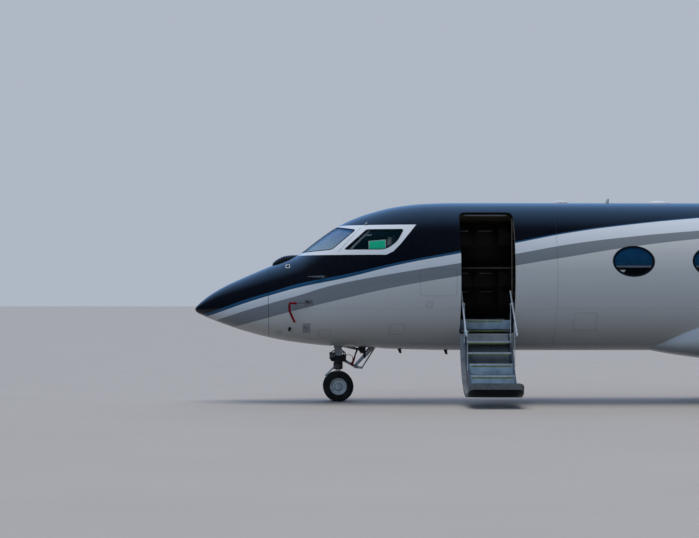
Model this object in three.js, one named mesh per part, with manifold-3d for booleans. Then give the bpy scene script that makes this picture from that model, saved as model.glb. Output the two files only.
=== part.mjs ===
// Large-cabin business jet, parked on its gear with the airstair door open.
// Millimetres. +X runs aft, +Y to starboard, +Z up, with the ground at Z = 0.
// A station is a distance aft of the nose tip, and x = station - LENGTH / 2.
import * as THREE from "three";
import { mergeVertices } from "three/addons/utils/BufferGeometryUtils.js";
import Module from "manifold-3d";

const wasm = await Module();
wasm.setup();

// Driving dimensions
const LENGTH = 27780;
const SKIN = 60; // fuselage wall, outer skin to lining
const TAIL_SKIN = 35; // wall of the unlined tail cone
const SEAT_GAP = 0.4; // clearance left between pieces that rest on each other
const RUN_GAP = 8; // clearance round a moving panel
const HULL_SIDES = 28;

const FIRE_WALL = 1290; // radome joint
const COCKPIT_END = 4200; // joint between cockpit and entry sections
const ENTRY_END = 6200; // joint between entry section and cabin barrel
const CABIN_END = 16900; // joint between cabin barrel and tail cone
const HULL_END = 26300;

const FLOOR_TOP = 1440;
const FLOOR_THICK = 40;
const BULKHEADS = { cockpit: 4420, cabin: 6230, aft: 16800, thick: 50 };

const WINDOW = { count: 7, first: 7496, pitch: 1361, width: 721, height: 530, z: 2428 };
const DOOR = { front: 4560, rear: 5485, bottom: 1215, top: 3278, corner: 110 };
const HINGE = { y: -845, z: 1195, open: 119, pin: 12 };
const WELL = { edge: -620, lip: -800, top: 1260, thick: 38 };
const STAIR = { front: 4645, rear: 5400, wall: 14, first: 1075, rise: 185, start: -942, run: 262, treads: 5 };
const RAIL = { post: 640, inner: [-1100, 1060], outer: [-1750, 601], tube: 15 };

const NOSE_GEAR = { station: 2500, wheel: 265, width: 170, spread: 350 };
const MAIN_GEAR = { station: 14150, y: 2180, wheel: 445, width: 260, spread: 480 };
const ENGINE = { station: 17500, y: 2230, z: 2720, fan: 625 };
const FIN_TOP = 7470;
const TAIL_Z = 7560;

const X = (station) => station - LENGTH / 2;

// Fuselage frames: station, top, bottom, half width, height of the widest point
const HULL = [
  [0, 1632, 1582, 26, 1607],
  [40, 1678, 1548, 92, 1607],
  [135, 1764, 1503, 185, 1608],
  [270, 1866, 1442, 287, 1613],
  [535, 2020, 1342, 442, 1637],
  [870, 2173, 1229, 592, 1680],
  [1290, 2352, 1119, 745, 1742],
  [1560, 2456, 1064, 830, 1785],
  [1800, 2560, 1028, 900, 1825],
  [2110, 2790, 991, 980, 1875],
  [2425, 3012, 963, 1052, 1925],
  [2700, 3160, 948, 1108, 1970],
  [3050, 3290, 934, 1165, 2020],
  [3500, 3400, 914, 1224, 2085],
  [4000, 3458, 899, 1270, 2140],
  [4500, 3473, 893, 1295, 2170],
  [5200, 3475, 890, 1300, 2180],
  [16500, 3475, 890, 1300, 2180],
  [17800, 3470, 940, 1288, 2200],
  [19200, 3450, 1130, 1225, 2290],
  [20800, 3418, 1480, 1080, 2450],
  [22400, 3380, 1880, 862, 2640],
  [24000, 3335, 2290, 600, 2830],
  [25400, 3270, 2640, 350, 2970],
  [26300, 3200, 2840, 190, 3020],
];

// One column of a table at a station, straight between its rows
function column(table, station, index) {
  const last = table.length - 1;
  if (station <= table[0][0]) return table[0][index];
  if (station >= table[last][0]) return table[last][index];
  let i = 0;
  while (station > table[i + 1][0]) i++;
  const share = (station - table[i][0]) / (table[i + 1][0] - table[i][0]);
  return table[i][index] + (table[i + 1][index] - table[i][index]) * share;
}

// Solids: closed geometries joined and cut as manifolds

function solid(geometry) {
  const bare = geometry.index ? geometry.toNonIndexed() : geometry.clone();
  bare.deleteAttribute("normal");
  bare.deleteAttribute("uv");
  const merged = mergeVertices(bare, 1e-3);
  const made = new wasm.Manifold(
    new wasm.Mesh({
      numProp: 3,
      vertProperties: new Float32Array(merged.attributes.position.array),
      triVerts: new Uint32Array(merged.index.array),
    }),
  );
  return made;
}

function geometryOf(made) {
  const { vertProperties, triVerts } = made.getMesh();
  const geometry = new THREE.BufferGeometry();
  geometry.setAttribute("position", new THREE.BufferAttribute(new Float32Array(vertProperties), 3));
  geometry.setIndex(new THREE.BufferAttribute(new Uint32Array(triVerts), 1));
  geometry.computeVertexNormals();
  return geometry;
}

const join = (...solids) => solids.reduce((a, b) => a.add(b));
const mirrored = (made) => made.mirror([0, 1, 0]);

// A closed skin through equal loops of points, capped at both ends, and the same left and right
function loft(loops) {
  const around = loops[0].length;
  const points = loops.flat();
  const faces = [];
  for (let i = 0; i < loops.length - 1; i++) {
    for (let j = 0; j < around; j++) {
      const a = i * around + j;
      const b = i * around + ((j + 1) % around);
      const [c, d] = [b + around, a + around];
      const middle = points[a].y + points[b].y + points[c].y + points[d].y;
      if (middle > 0) faces.push(a, b, c, a, c, d);
      else faces.push(a, b, d, b, c, d);
    }
  }
  for (const [first, turn] of [[0, -1], [(loops.length - 1) * around, 1]]) {
    const centre = new THREE.Vector3();
    for (let j = 0; j < around; j++) centre.addScaledVector(points[first + j], 1 / around);
    points.push(centre);
    for (let j = 0; j < around; j++) {
      const pair = [first + j, first + ((j + 1) % around)];
      faces.push(points.length - 1, ...(turn > 0 ? pair : pair.reverse()));
    }
  }
  let volume = 0;
  for (let f = 0; f < faces.length; f += 3) {
    const [a, b, c] = [0, 1, 2].map((k) => points[faces[f + k]]);
    volume += a.dot(new THREE.Vector3().crossVectors(b, c));
  }
  if (volume < 0) faces.reverse();
  return solid(new THREE.BufferGeometry().setFromPoints(points).setIndex(faces));
}

// A box between two corners
function box(x0, x1, y0, y1, z0, z1) {
  const geometry = new THREE.BoxGeometry(x1 - x0, y1 - y0, z1 - z0);
  return solid(geometry.translate((x0 + x1) / 2, (y0 + y1) / 2, (z0 + z1) / 2));
}

// An outline in X and Z, carried along Y from y0 to y1
function slab(shape, y0, y1, curveSegments = 4) {
  const geometry = new THREE.ExtrudeGeometry(shape, { depth: y1 - y0, bevelEnabled: false, curveSegments });
  return solid(geometry.rotateX(Math.PI / 2).translate(0, y1, 0));
}

// An outline in Y and Z, carried along X from x0 to x1
function plate(shape, x0, x1, curveSegments = 4) {
  const geometry = new THREE.ExtrudeGeometry(shape, { depth: x1 - x0, bevelEnabled: false, curveSegments });
  const swap = new THREE.Matrix4().set(0, 0, 1, 0, 1, 0, 0, 0, 0, 1, 0, 0, 0, 0, 0, 1);
  return solid(geometry.applyMatrix4(swap).translate(x0, 0, 0));
}

// A round bar from a to b, with its end radii
function rod(a, b, radius, sides = 12, endRadius = radius) {
  const from = new THREE.Vector3(...a);
  const along = new THREE.Vector3(...b).sub(from);
  const geometry = new THREE.CylinderGeometry(endRadius, radius, along.length(), sides);
  geometry.translate(0, along.length() / 2, 0);
  const turn = new THREE.Quaternion().setFromUnitVectors(new THREE.Vector3(0, 1, 0), along.normalize());
  return solid(geometry.applyQuaternion(turn).translate(...a));
}

// A turned shape about the X axis from a closed profile of [x, radius] points
function turned(profile, sides) {
  const points = profile.map(([x, r]) => new THREE.Vector2(r, x));
  if (THREE.ShapeUtils.area(points) < 0) points.reverse();
  const geometry = new THREE.LatheGeometry([...points, points[0]], sides);
  return solid(geometry.rotateZ(-Math.PI / 2));
}

// A polygon outline with the corners rounded
function outline(corners, radius = 0) {
  const shape = new THREE.Shape();
  const count = corners.length;
  corners.forEach(([x, z], i) => {
    const r = Array.isArray(radius) ? radius[i] : radius;
    const here = new THREE.Vector2(x, z);
    const towards = (k) => new THREE.Vector2(...corners[(k + count) % count]).sub(here).normalize();
    const start = here.clone().addScaledVector(towards(i - 1), r);
    const end = here.clone().addScaledVector(towards(i + 1), r);
    if (i === 0) shape.moveTo(start.x, start.y);
    else shape.lineTo(start.x, start.y);
    if (r > 0) shape.quadraticCurveTo(x, z, end.x, end.y);
  });
  shape.closePath();
  return shape;
}

// Materials
const paint = (color, roughness = 0.3, metalness = 0.1) =>
  new THREE.MeshStandardMaterial({ color, roughness, metalness });
const WHITE = paint(0xd9dde2);
const NAVY = paint(0x14223a);
const GREY = paint(0x8c97a5);
const BARE = paint(0xb9bdc1, 0.25, 0.9);
const STEEL = paint(0x8d9294, 0.4, 0.6);
const RUBBER = paint(0x1b1c1e, 0.85, 0);
const CARPET = paint(0x3a3a3c, 0.95, 0);
const LEATHER = paint(0x6b5f54, 0.6, 0);
const BLACK = paint(0x16181a, 0.7, 0);
const RED = paint(0xb3141c, 0.8, 0);
const GLASS = new THREE.MeshStandardMaterial({
  color: 0x2a3a44, roughness: 0.05, metalness: 0, transparent: true, opacity: 0.45,
});

const aircraft = new THREE.Group();

function add(name, made, material, parent = aircraft) {
  const mesh = new THREE.Mesh(geometryOf(made), material);
  mesh.name = name;
  parent.add(mesh);
  return mesh;
}

// Radius of a faceted bore that a faceted pin turns in without touching
const PIN_SIDES = 16;
const boreFor = (pin) => (pin + 0.3) / Math.cos(Math.PI / PIN_SIDES);

// Fuselage

function hullLoop(station, offset) {
  const [top, bottom, half, widest] = [1, 2, 3, 4].map((i) => column(HULL, station, i));
  return Array.from({ length: HULL_SIDES }, (_, j) => {
    const angle = (2 * Math.PI * j) / HULL_SIDES;
    const up = Math.sin(angle);
    const reach = up > 0 ? top - widest : widest - bottom;
    return new THREE.Vector3(X(station), (half + offset) * Math.cos(angle), widest + (reach + offset) * up);
  });
}

// The fuselage as one closed body between two stations, its skin moved out by an offset
function hull(from, to, offset = 0) {
  const inside = HULL.map((row) => row[0]).filter((s) => s > from + 1 && s < to - 1);
  return loft([from, ...inside, to].map((s) => hullLoop(s, offset)));
}

// The space inside or around the fuselage from one station to another, reaching 200 mm past both
function hullSpace(from, to, offset) {
  const ends = [from - 200, ...HULL.map((row) => row[0]).filter((s) => s > from - 199 && s < to + 199), to + 200];
  return loft(ends.map((s) => hullLoop(s, offset)));
}

const cabinWindowShape = (station, grow = 0) => {
  const shape = new THREE.Shape();
  shape.absellipse(X(station), WINDOW.z, WINDOW.width / 2 + grow, WINDOW.height / 2 + grow, 0, 2 * Math.PI);
  return shape;
};

// Cockpit windows in side view. The windshield's inner edge is the centre post.
const WINDSHIELD = [[1800, 2590], [2378, 2636], [2793, 2984], [2395, 3050]];
const SIDE_WINDOW = [[2587, 2636], [3290, 2634], [3480, 2765], [3610, 2985], [2975, 2985]];
const CENTRE_POST = 45;

function cockpitWindow(corners, radius, inner, shrink) {
  const mid = corners.reduce((s, [a, b]) => [s[0] + a / corners.length, s[1] + b / corners.length], [0, 0]);
  const scaled = corners.map(([s, z]) => [
    X(mid[0] + (s - mid[0]) * (1 - shrink)),
    mid[1] + (z - mid[1]) * (1 - shrink),
  ]);
  const edge = shrink > 0 ? SEAT_GAP : 0;
  return slab(outline(scaled, radius), -1400, -inner - edge);
}
const windshieldOpening = (shrink = 0) => cockpitWindow(WINDSHIELD, [10, 30, 30, 10], CENTRE_POST, shrink);
const sideWindowOpening = (shrink = 0) => cockpitWindow(SIDE_WINDOW, [30, 90, 60, 60, 30], 300, shrink);

function doorShape(inset) {
  const corners = [
    [X(DOOR.front) + inset, DOOR.bottom + inset],
    [X(DOOR.rear) - inset, DOOR.bottom + inset],
    [X(DOOR.rear) - inset, DOOR.top - inset],
    [X(DOOR.front) + inset, DOOR.top - inset],
  ];
  return outline(corners, [30, 30, DOOR.corner, DOOR.corner]);
}

// A small swept blade aerial on the centre line, standing up or hanging down
function blade(station, base, chord, height, thick = 26) {
  const tip = base + height;
  const shape = outline([
    [X(station), base - Math.sign(height) * 30],
    [X(station + chord), base - Math.sign(height) * 30],
    [X(station + chord * 1.15), tip],
    [X(station + chord * 0.6), tip],
  ]);
  return slab(shape, -thick / 2, thick / 2);
}

// A low oval fairing on the crown
function crownFairing(station, length, width, height, base) {
  const geometry = new THREE.SphereGeometry(1, 10, 6).rotateX(Math.PI / 2);
  geometry.scale(length / 2, width / 2, height);
  return solid(geometry.translate(X(station + length / 2), 0, base));
}

const NOSE_BAY = { front: 2390, rear: 3240, half: 165 };
const KNUCKLES = [[4690, 4810], [5235, 5355]];

function radome() {
  return hull(0, FIRE_WALL);
}

function hingeLugs() {
  const [y, z] = [HINGE.y, HINGE.z];
  const spans = [[4575, 4680], [4820, 5225], [5365, 5470]];
  const lugs = spans.map(([a, b]) => box(X(a), X(b), y - 12, y + 80, z - 13, z + 13));
  return join(rod([X(4575), y, z], [X(5470), y, z], HINGE.pin, 16), ...lugs);
}

// Air data probe on the left side: base plate, mast, tube and the cover pulled over its end
const PROBE = { station: 1980, z: 1716, tip: 1640, stand: 95, cover: 1775 };

function hullSide(station, z, offset = 0) {
  const [top, bottom, half, widest] = [1, 2, 3, 4].map((i) => column(HULL, station, i));
  const reach = (z > widest ? top - widest : widest - bottom) + offset;
  return -(half + offset) * Math.sqrt(Math.max(0, 1 - ((z - widest) / reach) ** 2));
}

function airProbe() {
  const { station, z, tip, stand, cover } = PROBE;
  const out = hullSide(station - 60, z) - stand;
  const root = hullSide(station, z);
  const mast = rod([X(station - 10), root + 25, z], [X(station - 60), out, z], 24, 8, 13);
  const tube = rod([X(station - 45), out, z], [X(cover - 20), out, z], 13, 8);
  const sleeve = rod([X(cover), out, z], [X(tip), out, z], 21, 8, 17);
  return join(mast, tube, sleeve);
}

// Ribbon that hangs from the probe's cover, its lower part blown aft
function ribbon() {
  const y = hullSide(PROBE.station - 60, PROBE.z) - PROBE.stand;
  const line = [[1650, PROBE.z - 18.3], [1652, PROBE.z - 110], [1690, PROBE.z - 215], [1742, PROBE.z - 330]];
  const width = 22;
  const shape = outline([
    ...line.map(([s, z]) => [X(s) - width, z]),
    ...line.reverse().map(([s, z]) => [X(s) + width, z]),
  ]);
  return slab(shape, y - 3, y + 3);
}

function cockpitSection() {
  let skin = hull(FIRE_WALL, COCKPIT_END);
  skin = skin.subtract(loft([FIRE_WALL + 50, ...[1560, 1800, 2110, 2425, 2700, 3050, 3500, 4000],
    COCKPIT_END + 50].map((s) => hullLoop(s, -SKIN))));
  for (const opening of [windshieldOpening(), sideWindowOpening()]) {
    skin = skin.subtract(opening).subtract(mirrored(opening));
  }
  skin = skin.subtract(box(X(NOSE_BAY.front), X(NOSE_BAY.rear), -NOSE_BAY.half, NOSE_BAY.half, 800, 1300));
  const sensor = crownFairing(1330, 520, 230, 120, 2440);
  return join(skin, sensor.subtract(hullSpace(1300, 2300, -SKIN / 2)), blade(3535, 916, 70, -75),
    airProbe(), mirrored(airProbe()));
}

function entrySection() {
  let skin = hull(COCKPIT_END, ENTRY_END);
  skin = skin.subtract(loft([COCKPIT_END - 50, 4500, 5200, ENTRY_END + 50].map((s) => hullLoop(s, -SKIN))));
  skin = skin.subtract(slab(doorShape(0), -1500, -400));
  for (const [a, b] of KNUCKLES) skin = skin.subtract(box(X(a) - RUN_GAP, X(b) + RUN_GAP, -900, -765, 1160, 1230));
  return join(skin, hingeLugs(), blade(4344, 894, 70, -75));
}

function cabinBarrel() {
  let skin = hull(ENTRY_END, CABIN_END).subtract(
    loft([ENTRY_END - 50, 16500, CABIN_END + 50].map((s) => hullLoop(s, -SKIN))));
  for (let i = 0; i < WINDOW.count; i++) {
    const shape = cabinWindowShape(WINDOW.first + i * WINDOW.pitch);
    skin = skin.subtract(slab(shape, -1500, 1500, 6));
  }
  return join(skin, crownFairing(6282, 240, 110, 26, 3474), blade(7190, 3474, 70, 80),
    crownFairing(7943, 400, 200, 26, 3474));
}

function tailCone() {
  const hollow = loft([CABIN_END - 50, 17800, 19200, 20800, 22400, 24000].map((s) => hullLoop(s, -TAIL_SKIN)));
  const exhaust = rod([X(25600), 0, 3015], [X(26500), 0, 3015], 120, 16);
  return hull(CABIN_END, HULL_END).subtract(hollow).subtract(exhaust);
}

function floorPlate(from, to) {
  return box(X(from), X(to), -1300, 1300, FLOOR_TOP - FLOOR_THICK, FLOOR_TOP)
    .intersect(hullSpace(from, to, -SKIN - SEAT_GAP));
}

// Floor inside the door, with the well that the folded stairs close into and its one step
function entryFloor() {
  const well = box(X(4550), X(5495), -1300, WELL.edge, FLOOR_TOP - 60, FLOOR_TOP + 5);
  const step = box(X(4572), X(5473), WELL.lip, WELL.edge + 20, WELL.top - WELL.thick, WELL.top);
  const riser = box(X(4572), X(5473), WELL.edge, WELL.edge + 20, WELL.top - WELL.thick, FLOOR_TOP - 5);
  const floor = floorPlate(BULKHEADS.cockpit, BULKHEADS.cabin - SEAT_GAP).subtract(well);
  return join(floor, join(step, riser).intersect(hullSpace(4600, 5400, -SKIN - SEAT_GAP)));
}

// A partition across the cabin, standing on the floor, with an aisle through it
function partition(station, thick, aisle, aisleTop) {
  const wall = box(X(station), X(station + thick), -1300, 1300, FLOOR_TOP + SEAT_GAP, 3600);
  const kept = hullSpace(station, station + thick, -SKIN - SEAT_GAP);
  const doorway = box(X(station) - 10, X(station + thick) + 10, -aisle, aisle, FLOOR_TOP - 10, aisleTop);
  return wall.intersect(kept).subtract(doorway);
}

function instrumentPanel() {
  const shape = outline([[X(2330), 1700], [X(2560), 1700], [X(2480), 2430], [X(2600), 2520], [X(2130), 2560],
    [X(2150), 2450]]);
  const desk = slab(shape, -760, 760);
  const foot = box(X(2340), X(2540), -700, 700, FLOOR_TOP + SEAT_GAP, 1760);
  const pedestal = slab(outline([[X(2500), FLOOR_TOP + SEAT_GAP], [X(3350), FLOOR_TOP + SEAT_GAP], [X(3350), 2000],
    [X(2800), 2080], [X(2500), 2180]]), -140, 140);
  return join(desk, foot, pedestal).intersect(hullSpace(2110, 3400, -SKIN - SEAT_GAP));
}

// A seat facing forwards, its origin on the floor under the middle of the cushion
function seat({ width, back }) {
  const side = outline([[-200, 0], [200, 0], [200, 300], [330, 320], [480, back], [350, back + 10],
    [190, 440], [-260, 440], [-260, 300], [-200, 300]]);
  return slab(side, -width / 2, width / 2);
}

const FLOOR = FLOOR_TOP + SEAT_GAP;
const PILOT_SEAT = { station: 3000, y: 490, width: 460, back: 1440 };
const CABIN_SEAT = { y: 700, width: 440, back: 1060 };
const CABIN_SEATS = [7150, 8350, 9750, 10950, 12350, 13550, 14900];

// Club seats on a pair of floor tracks, in facing pairs
function cabinSeats(side) {
  const y = side * CABIN_SEAT.y;
  const rails = [-140, 140].map((off) => box(X(6800), X(15300), y + off - 20, y + off + 20, FLOOR, FLOOR + 25));
  const cross = box(X(6800), X(6860), y - 160, y + 160, FLOOR, FLOOR + 25);
  const seats = CABIN_SEATS.map((station, i) =>
    seat(CABIN_SEAT).rotate([0, 0, i % 2 ? 0 : 180]).translate([X(station), y, FLOOR + 5]));
  return join(...rails, cross, ...seats).intersect(hullSpace(6800, 15400, -SKIN - 20));
}

function cabinGlass() {
  const [from, to] = [WINDOW.first - 450, WINDOW.first + WINDOW.pitch * (WINDOW.count - 1) + 450];
  const strip = hull(from, to, -SKIN - 0.6).subtract(hullSpace(from, to, -SKIN - 12));
  return strip.intersect(box(X(from) - 10, X(to) + 10, -1400, -900, WINDOW.z - 315, WINDOW.z + 315));
}

function cockpitGlass(opening, from, to) {
  return hull(from, to, -8).subtract(hullSpace(from, to, -34)).intersect(opening);
}

// Door and airstair, drawn closed in the wall and swung open as one group

function doorPanel() {
  const wall = hull(DOOR.front - 60, DOOR.rear + 60).subtract(hullSpace(DOOR.front, DOOR.rear, -SKIN));
  let panel = wall.intersect(slab(doorShape(RUN_GAP), -1500, -400));
  panel = panel.subtract(box(X(DOOR.front), X(DOOR.rear), HINGE.y + 15, -600, 1200, 1270));
  for (const [a, b] of KNUCKLES) {
    const arm = box(X(a), X(b), HINGE.y - 14, HINGE.y + 12, HINGE.z, 1262);
    const knuckle = rod([X(a), HINGE.y, HINGE.z], [X(b), HINGE.y, HINGE.z], 22, 16);
    const bore = rod([X(a) - 5, HINGE.y, HINGE.z], [X(b) + 5, HINGE.y, HINGE.z], HINGE.pin + 0.7, 16);
    panel = join(panel, arm, knuckle).subtract(bore);
  }
  return panel;
}

const swing = (made, sign = 1) =>
  made
    .translate([0, -HINGE.y, -HINGE.z])
    .rotate([sign * HINGE.open, 0, 0])
    .translate([0, HINGE.y, HINGE.z]);

// Treads and side walls in the open position, cut to the inside of the swung door
function stairs() {
  const treads = [];
  for (let i = 0; i < STAIR.treads; i++) {
    const z = STAIR.first - i * STAIR.rise;
    const y = STAIR.start - i * STAIR.run;
    treads.push(box(X(STAIR.front), X(STAIR.rear), y - STAIR.run - 20, y, z - 30, z));
    treads.push(box(X(STAIR.front), X(STAIR.rear), y - STAIR.run - 14, y - STAIR.run, z - STAIR.rise - 20, z - 10));
  }
  const [firstY, lastY] = [STAIR.start, STAIR.start - STAIR.treads * STAIR.run - 40];
  const drop = ((firstY - lastY) * STAIR.rise) / STAIR.run;
  const side = outline([[firstY - 18, STAIR.first + 112], [lastY, STAIR.first + 125 - drop],
    [lastY - 30, 150], [-1900, 50], [-900, 500]]);
  const walls = [STAIR.front, STAIR.rear - STAIR.wall].map((s) => plate(side, X(s), X(s + STAIR.wall)));
  const bosses = [RAIL.inner, RAIL.outer].flatMap(([y, z]) => [
    rod([X(STAIR.front - 8), y, z], [X(STAIR.front), y, z], 26),
    rod([X(STAIR.rear), y, z], [X(STAIR.rear + 8), y, z], 26),
    rod([X(STAIR.front - 24), y, z], [X(STAIR.front), y, z], 8),
    rod([X(STAIR.rear), y, z], [X(STAIR.rear + 24), y, z], 8),
  ]);
  const inside = swing(hullSpace(DOOR.front, DOOR.rear, -SKIN - SEAT_GAP));
  return join(...treads, ...walls).intersect(inside).add(join(...bosses));
}

// Handrail posts stand beside the stair walls, and the rail is outboard of them
const postX = (front) => (front ? X(STAIR.front) - 16.5 : X(STAIR.rear) + 16.5);
const railX = (front) => (front ? X(STAIR.front) - 46 : X(STAIR.rear) + 46);

function railPost([y, z], front) {
  const x = postX(front);
  const out = front ? -1 : 1;
  const bar = box(x - 7.5, x + 7.5, y - 16, y + 16, z, z + RAIL.post);
  const eye = rod([x - 7.5, y, z], [x + 7.5, y, z], 24, 10);
  const head = rod([x - 7.5, y, z + RAIL.post], [x + 7.5, y, z + RAIL.post], 20, 10);
  const pin = rod([x, y, z + RAIL.post], [x + out * 20, y, z + RAIL.post], 7, 8);
  const bore = rod([x - 9, y, z], [x + 9, y, z], 8.8, 8);
  return join(bar, eye, head, pin).subtract(bore);
}

function handrail(front) {
  const x = railX(front);
  const [[y1, z1], [y2, z2]] = [RAIL.inner, RAIL.outer];
  const [top1, top2] = [z1 + RAIL.post, z2 + RAIL.post];
  const slope = new THREE.Vector2(y2 - y1, top2 - top1).normalize();
  const inner = [x, y1 - slope.x * 380, top1 - slope.y * 380];
  const outer = [x, y2 + slope.x * 120, top2 + slope.y * 120];
  const sleeves = [[y1, top1], [y2, top2]].map(([y, z]) => rod([x - 19, y, z], [x + 19, y, z], 24, 10));
  const bores = [[y1, top1], [y2, top2]].map(([y, z]) => rod([x - 25, y, z], [x + 25, y, z], 7.8, 8));
  return join(rod(inner, outer, RAIL.tube, 8), ...sleeves).subtract(join(...bores));
}

// Wings and tail

// Section of a wing or fin: chord share, upper and lower height as shares of the thickness
const AEROFOIL = [
  [0, 0, 0], [0.012, 0.16, -0.14], [0.05, 0.33, -0.27], [0.13, 0.48, -0.38], [0.28, 0.57, -0.43],
  [0.45, 0.55, -0.41], [0.62, 0.43, -0.32], [0.8, 0.25, -0.17], [1, 0.02, -0.02],
];

// One section in X and a height axis. bend turns the height axis from up towards +Y, for a winglet.
function foilLoop({ station, y, z, chord, thick, bend = 0, symmetric = false }) {
  const upper = AEROFOIL.map(([c, u]) => [c, symmetric ? (u > 0.02 ? u - 0.07 : u) : u]);
  const lower = AEROFOIL.map(([c, u, l]) => [c, symmetric ? -(u > 0.02 ? u - 0.07 : u) : l]);
  const outlinePoints = [...upper, ...lower.slice(1).reverse()];
  return outlinePoints.map(([c, h]) => {
    const height = h * thick;
    return new THREE.Vector3(X(station + c * chord), y - height * Math.sin(bend), z + height * Math.cos(bend));
  });
}

// Right wing: station of the leading edge, y, z of the chord line, chord, thickness, lean of the section
const WING = [
  [8900, 900, 1115, 6100, 620, 0],
  [9700, 1600, 1150, 5300, 560, 0],
  [11750, 4300, 1330, 3420, 370, 0],
  [17620, 12200, 1830, 1420, 150, 0],
  [18050, 12620, 1905, 1300, 125, 0.45],
  [18560, 12930, 2130, 1130, 100, 0.95],
  [19150, 13090, 2520, 940, 80, 1.25],
  [19900, 13135, 3180, 620, 52, 1.42],
];

function wing() {
  return loft(WING.map(([station, y, z, chord, thick, bend]) => foilLoop({ station, y, z, chord, thick, bend })));
}

// A panel hinged on a line from a to b, cut out of a whole surface, with a hinge pin at each end.
// radii are its nose radii there.
function hingedPanel(whole, a, b, radii, up) {
  const from = new THREE.Vector3(...a);
  const to = new THREE.Vector3(...b);
  const axis = to.clone().sub(from);
  const length = axis.length();
  axis.normalize();
  const normal = new THREE.Vector3(...up).addScaledVector(axis, -new THREE.Vector3(...up).dot(axis)).normalize();
  const back = new THREE.Vector3().crossVectors(axis, normal);
  if (back.x < 0) back.negate();
  const basis = new THREE.Matrix4().makeBasis(axis, back, new THREE.Vector3().crossVectors(axis, back));
  basis.setPosition(from);
  const zone = (gap) => {
    const geometry = new THREE.BoxGeometry(length + 2 * gap, 3000, 1600).translate(length / 2, 1500, 0);
    return solid(geometry.applyMatrix4(basis));
  };
  const nose = (gap) => {
    const start = from.clone().addScaledVector(axis, -gap).toArray();
    const end = to.clone().addScaledVector(axis, gap).toArray();
    return rod(start, end, radii[0] + 1.6 * gap, 20, radii[1] + 1.6 * gap);
  };
  const pin = Math.min(30, ...radii.map((r) => r * 0.5));
  const bar = (point, back, ahead, radius) => {
    const ends = [back, ahead].map((way) => point.clone().addScaledVector(axis, way).toArray());
    return rod(...ends, radius, PIN_SIDES);
  };
  const pins = join(bar(from, -RUN_GAP - 20, 50, pin), bar(to, -50, RUN_GAP + 20, pin));
  const bore = boreFor(pin);
  const bores = join(bar(from, -10, 52, bore), bar(to, -52, 10, bore));
  return {
    fixed: whole.subtract(zone(RUN_GAP)).subtract(nose(RUN_GAP)).add(pins),
    moving: join(whole.intersect(zone(0)), nose(0)).subtract(bores),
  };
}

const lerp = (a, b, t) => a.map((v, i) => v + (b[i] - v) * t);

// A point on a table row's chord line, at a share of the chord
const chordPoint = ([station, y, z, chord], share) => [X(station + chord * share), y, z];

// Point of the straight outer wing at a y and a share of the chord, raised from the chord line
function wingPoint(y, share, raise, low = 2, high = 3) {
  const t = (y - WING[low][1]) / (WING[high][1] - WING[low][1]);
  const [px, py, pz] = lerp(chordPoint(WING[low], share), chordPoint(WING[high], share), t);
  return [px, py, pz + raise];
}

const AILERON = { inner: wingPoint(9300, 0.76, 10), outer: wingPoint(12000, 0.76, 7), radii: [57, 38] };

const BELLY = [ // station, half width, bottom, top, height of the widest point
  [7900, 420, 905, 1300, 1060],
  [8500, 900, 800, 1500, 1120],
  [9400, 1290, 700, 1640, 1200],
  [10600, 1430, 655, 1700, 1230],
  [13800, 1440, 650, 1700, 1230],
  [15000, 1350, 690, 1640, 1210],
  [16000, 1050, 770, 1480, 1140],
  [16800, 520, 880, 1280, 1060],
];

function bellyLoop([station, half, bottom, top, widest], grow) {
  return Array.from({ length: 24 }, (_, j) => {
    const angle = (2 * Math.PI * j) / 24;
    const [c, s] = [Math.cos(angle), Math.sin(angle)];
    const reach = s > 0 ? top - widest : widest - bottom;
    const y = (half + grow) * Math.sign(c) * Math.abs(c) ** 0.75;
    return new THREE.Vector3(X(station), y, widest + (reach + grow) * Math.sign(s) * Math.abs(s) ** 0.85);
  });
}
const bellyBody = (grow = 0) => loft(BELLY.map((row) => bellyLoop(row, grow)));

const FIN = { root: 3300, rootStation: 19700, rootChord: 5200, tipStation: 23250, tipChord: 3150 };
const finAt = (z, share) => {
  const t = (z - FIN.root) / (FIN_TOP - FIN.root);
  const station = FIN.rootStation + (FIN.tipStation - FIN.rootStation) * t;
  const chord = FIN.rootChord + (FIN.tipChord - FIN.rootChord) * t;
  return [X(station + chord * share), 0, z];
};

function finLoop(z) {
  const t = (z - FIN.root) / (FIN_TOP - FIN.root);
  const chord = FIN.rootChord + (FIN.tipChord - FIN.rootChord) * t;
  const station = FIN.rootStation + (FIN.tipStation - FIN.rootStation) * t;
  const loop = foilLoop({ station, y: 0, z: 0, chord, thick: 460 - 120 * t, symmetric: true });
  return loop.map((p) => new THREE.Vector3(p.x, p.z, z));
}

const RUDDER = { low: 4200, high: 7060, share: 0.72, radii: [106, 84] };
const TAIL = [ // station of the leading edge, y, z, chord, thickness
  [23350, 0, TAIL_Z, 2950, 300],
  [26520, 4900, TAIL_Z, 1200, 110],
  [26720, 5060, TAIL_Z, 1060, 40],
];
const tailPoint = (y, share) => {
  const t = y / TAIL[1][1];
  return lerp(chordPoint(TAIL[0], share), chordPoint(TAIL[1], share), t);
};
const ELEVATOR = { inner: tailPoint(780, 0.7), outer: tailPoint(4780, 0.7), radii: [73, 30] };

function tailHalf() {
  return loft(TAIL.map(([station, y, z, chord, thick]) =>
    foilLoop({ station, y, z, chord, thick, symmetric: true })));
}

function bullet() {
  const geometry = new THREE.SphereGeometry(1, 12, 10).rotateZ(Math.PI / 2).scale(2000, 190, 215);
  return solid(geometry.translate(X(24950), 0, TAIL_Z));
}

// Engines, drawn about the X axis with the inlet lip at x = 0

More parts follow.
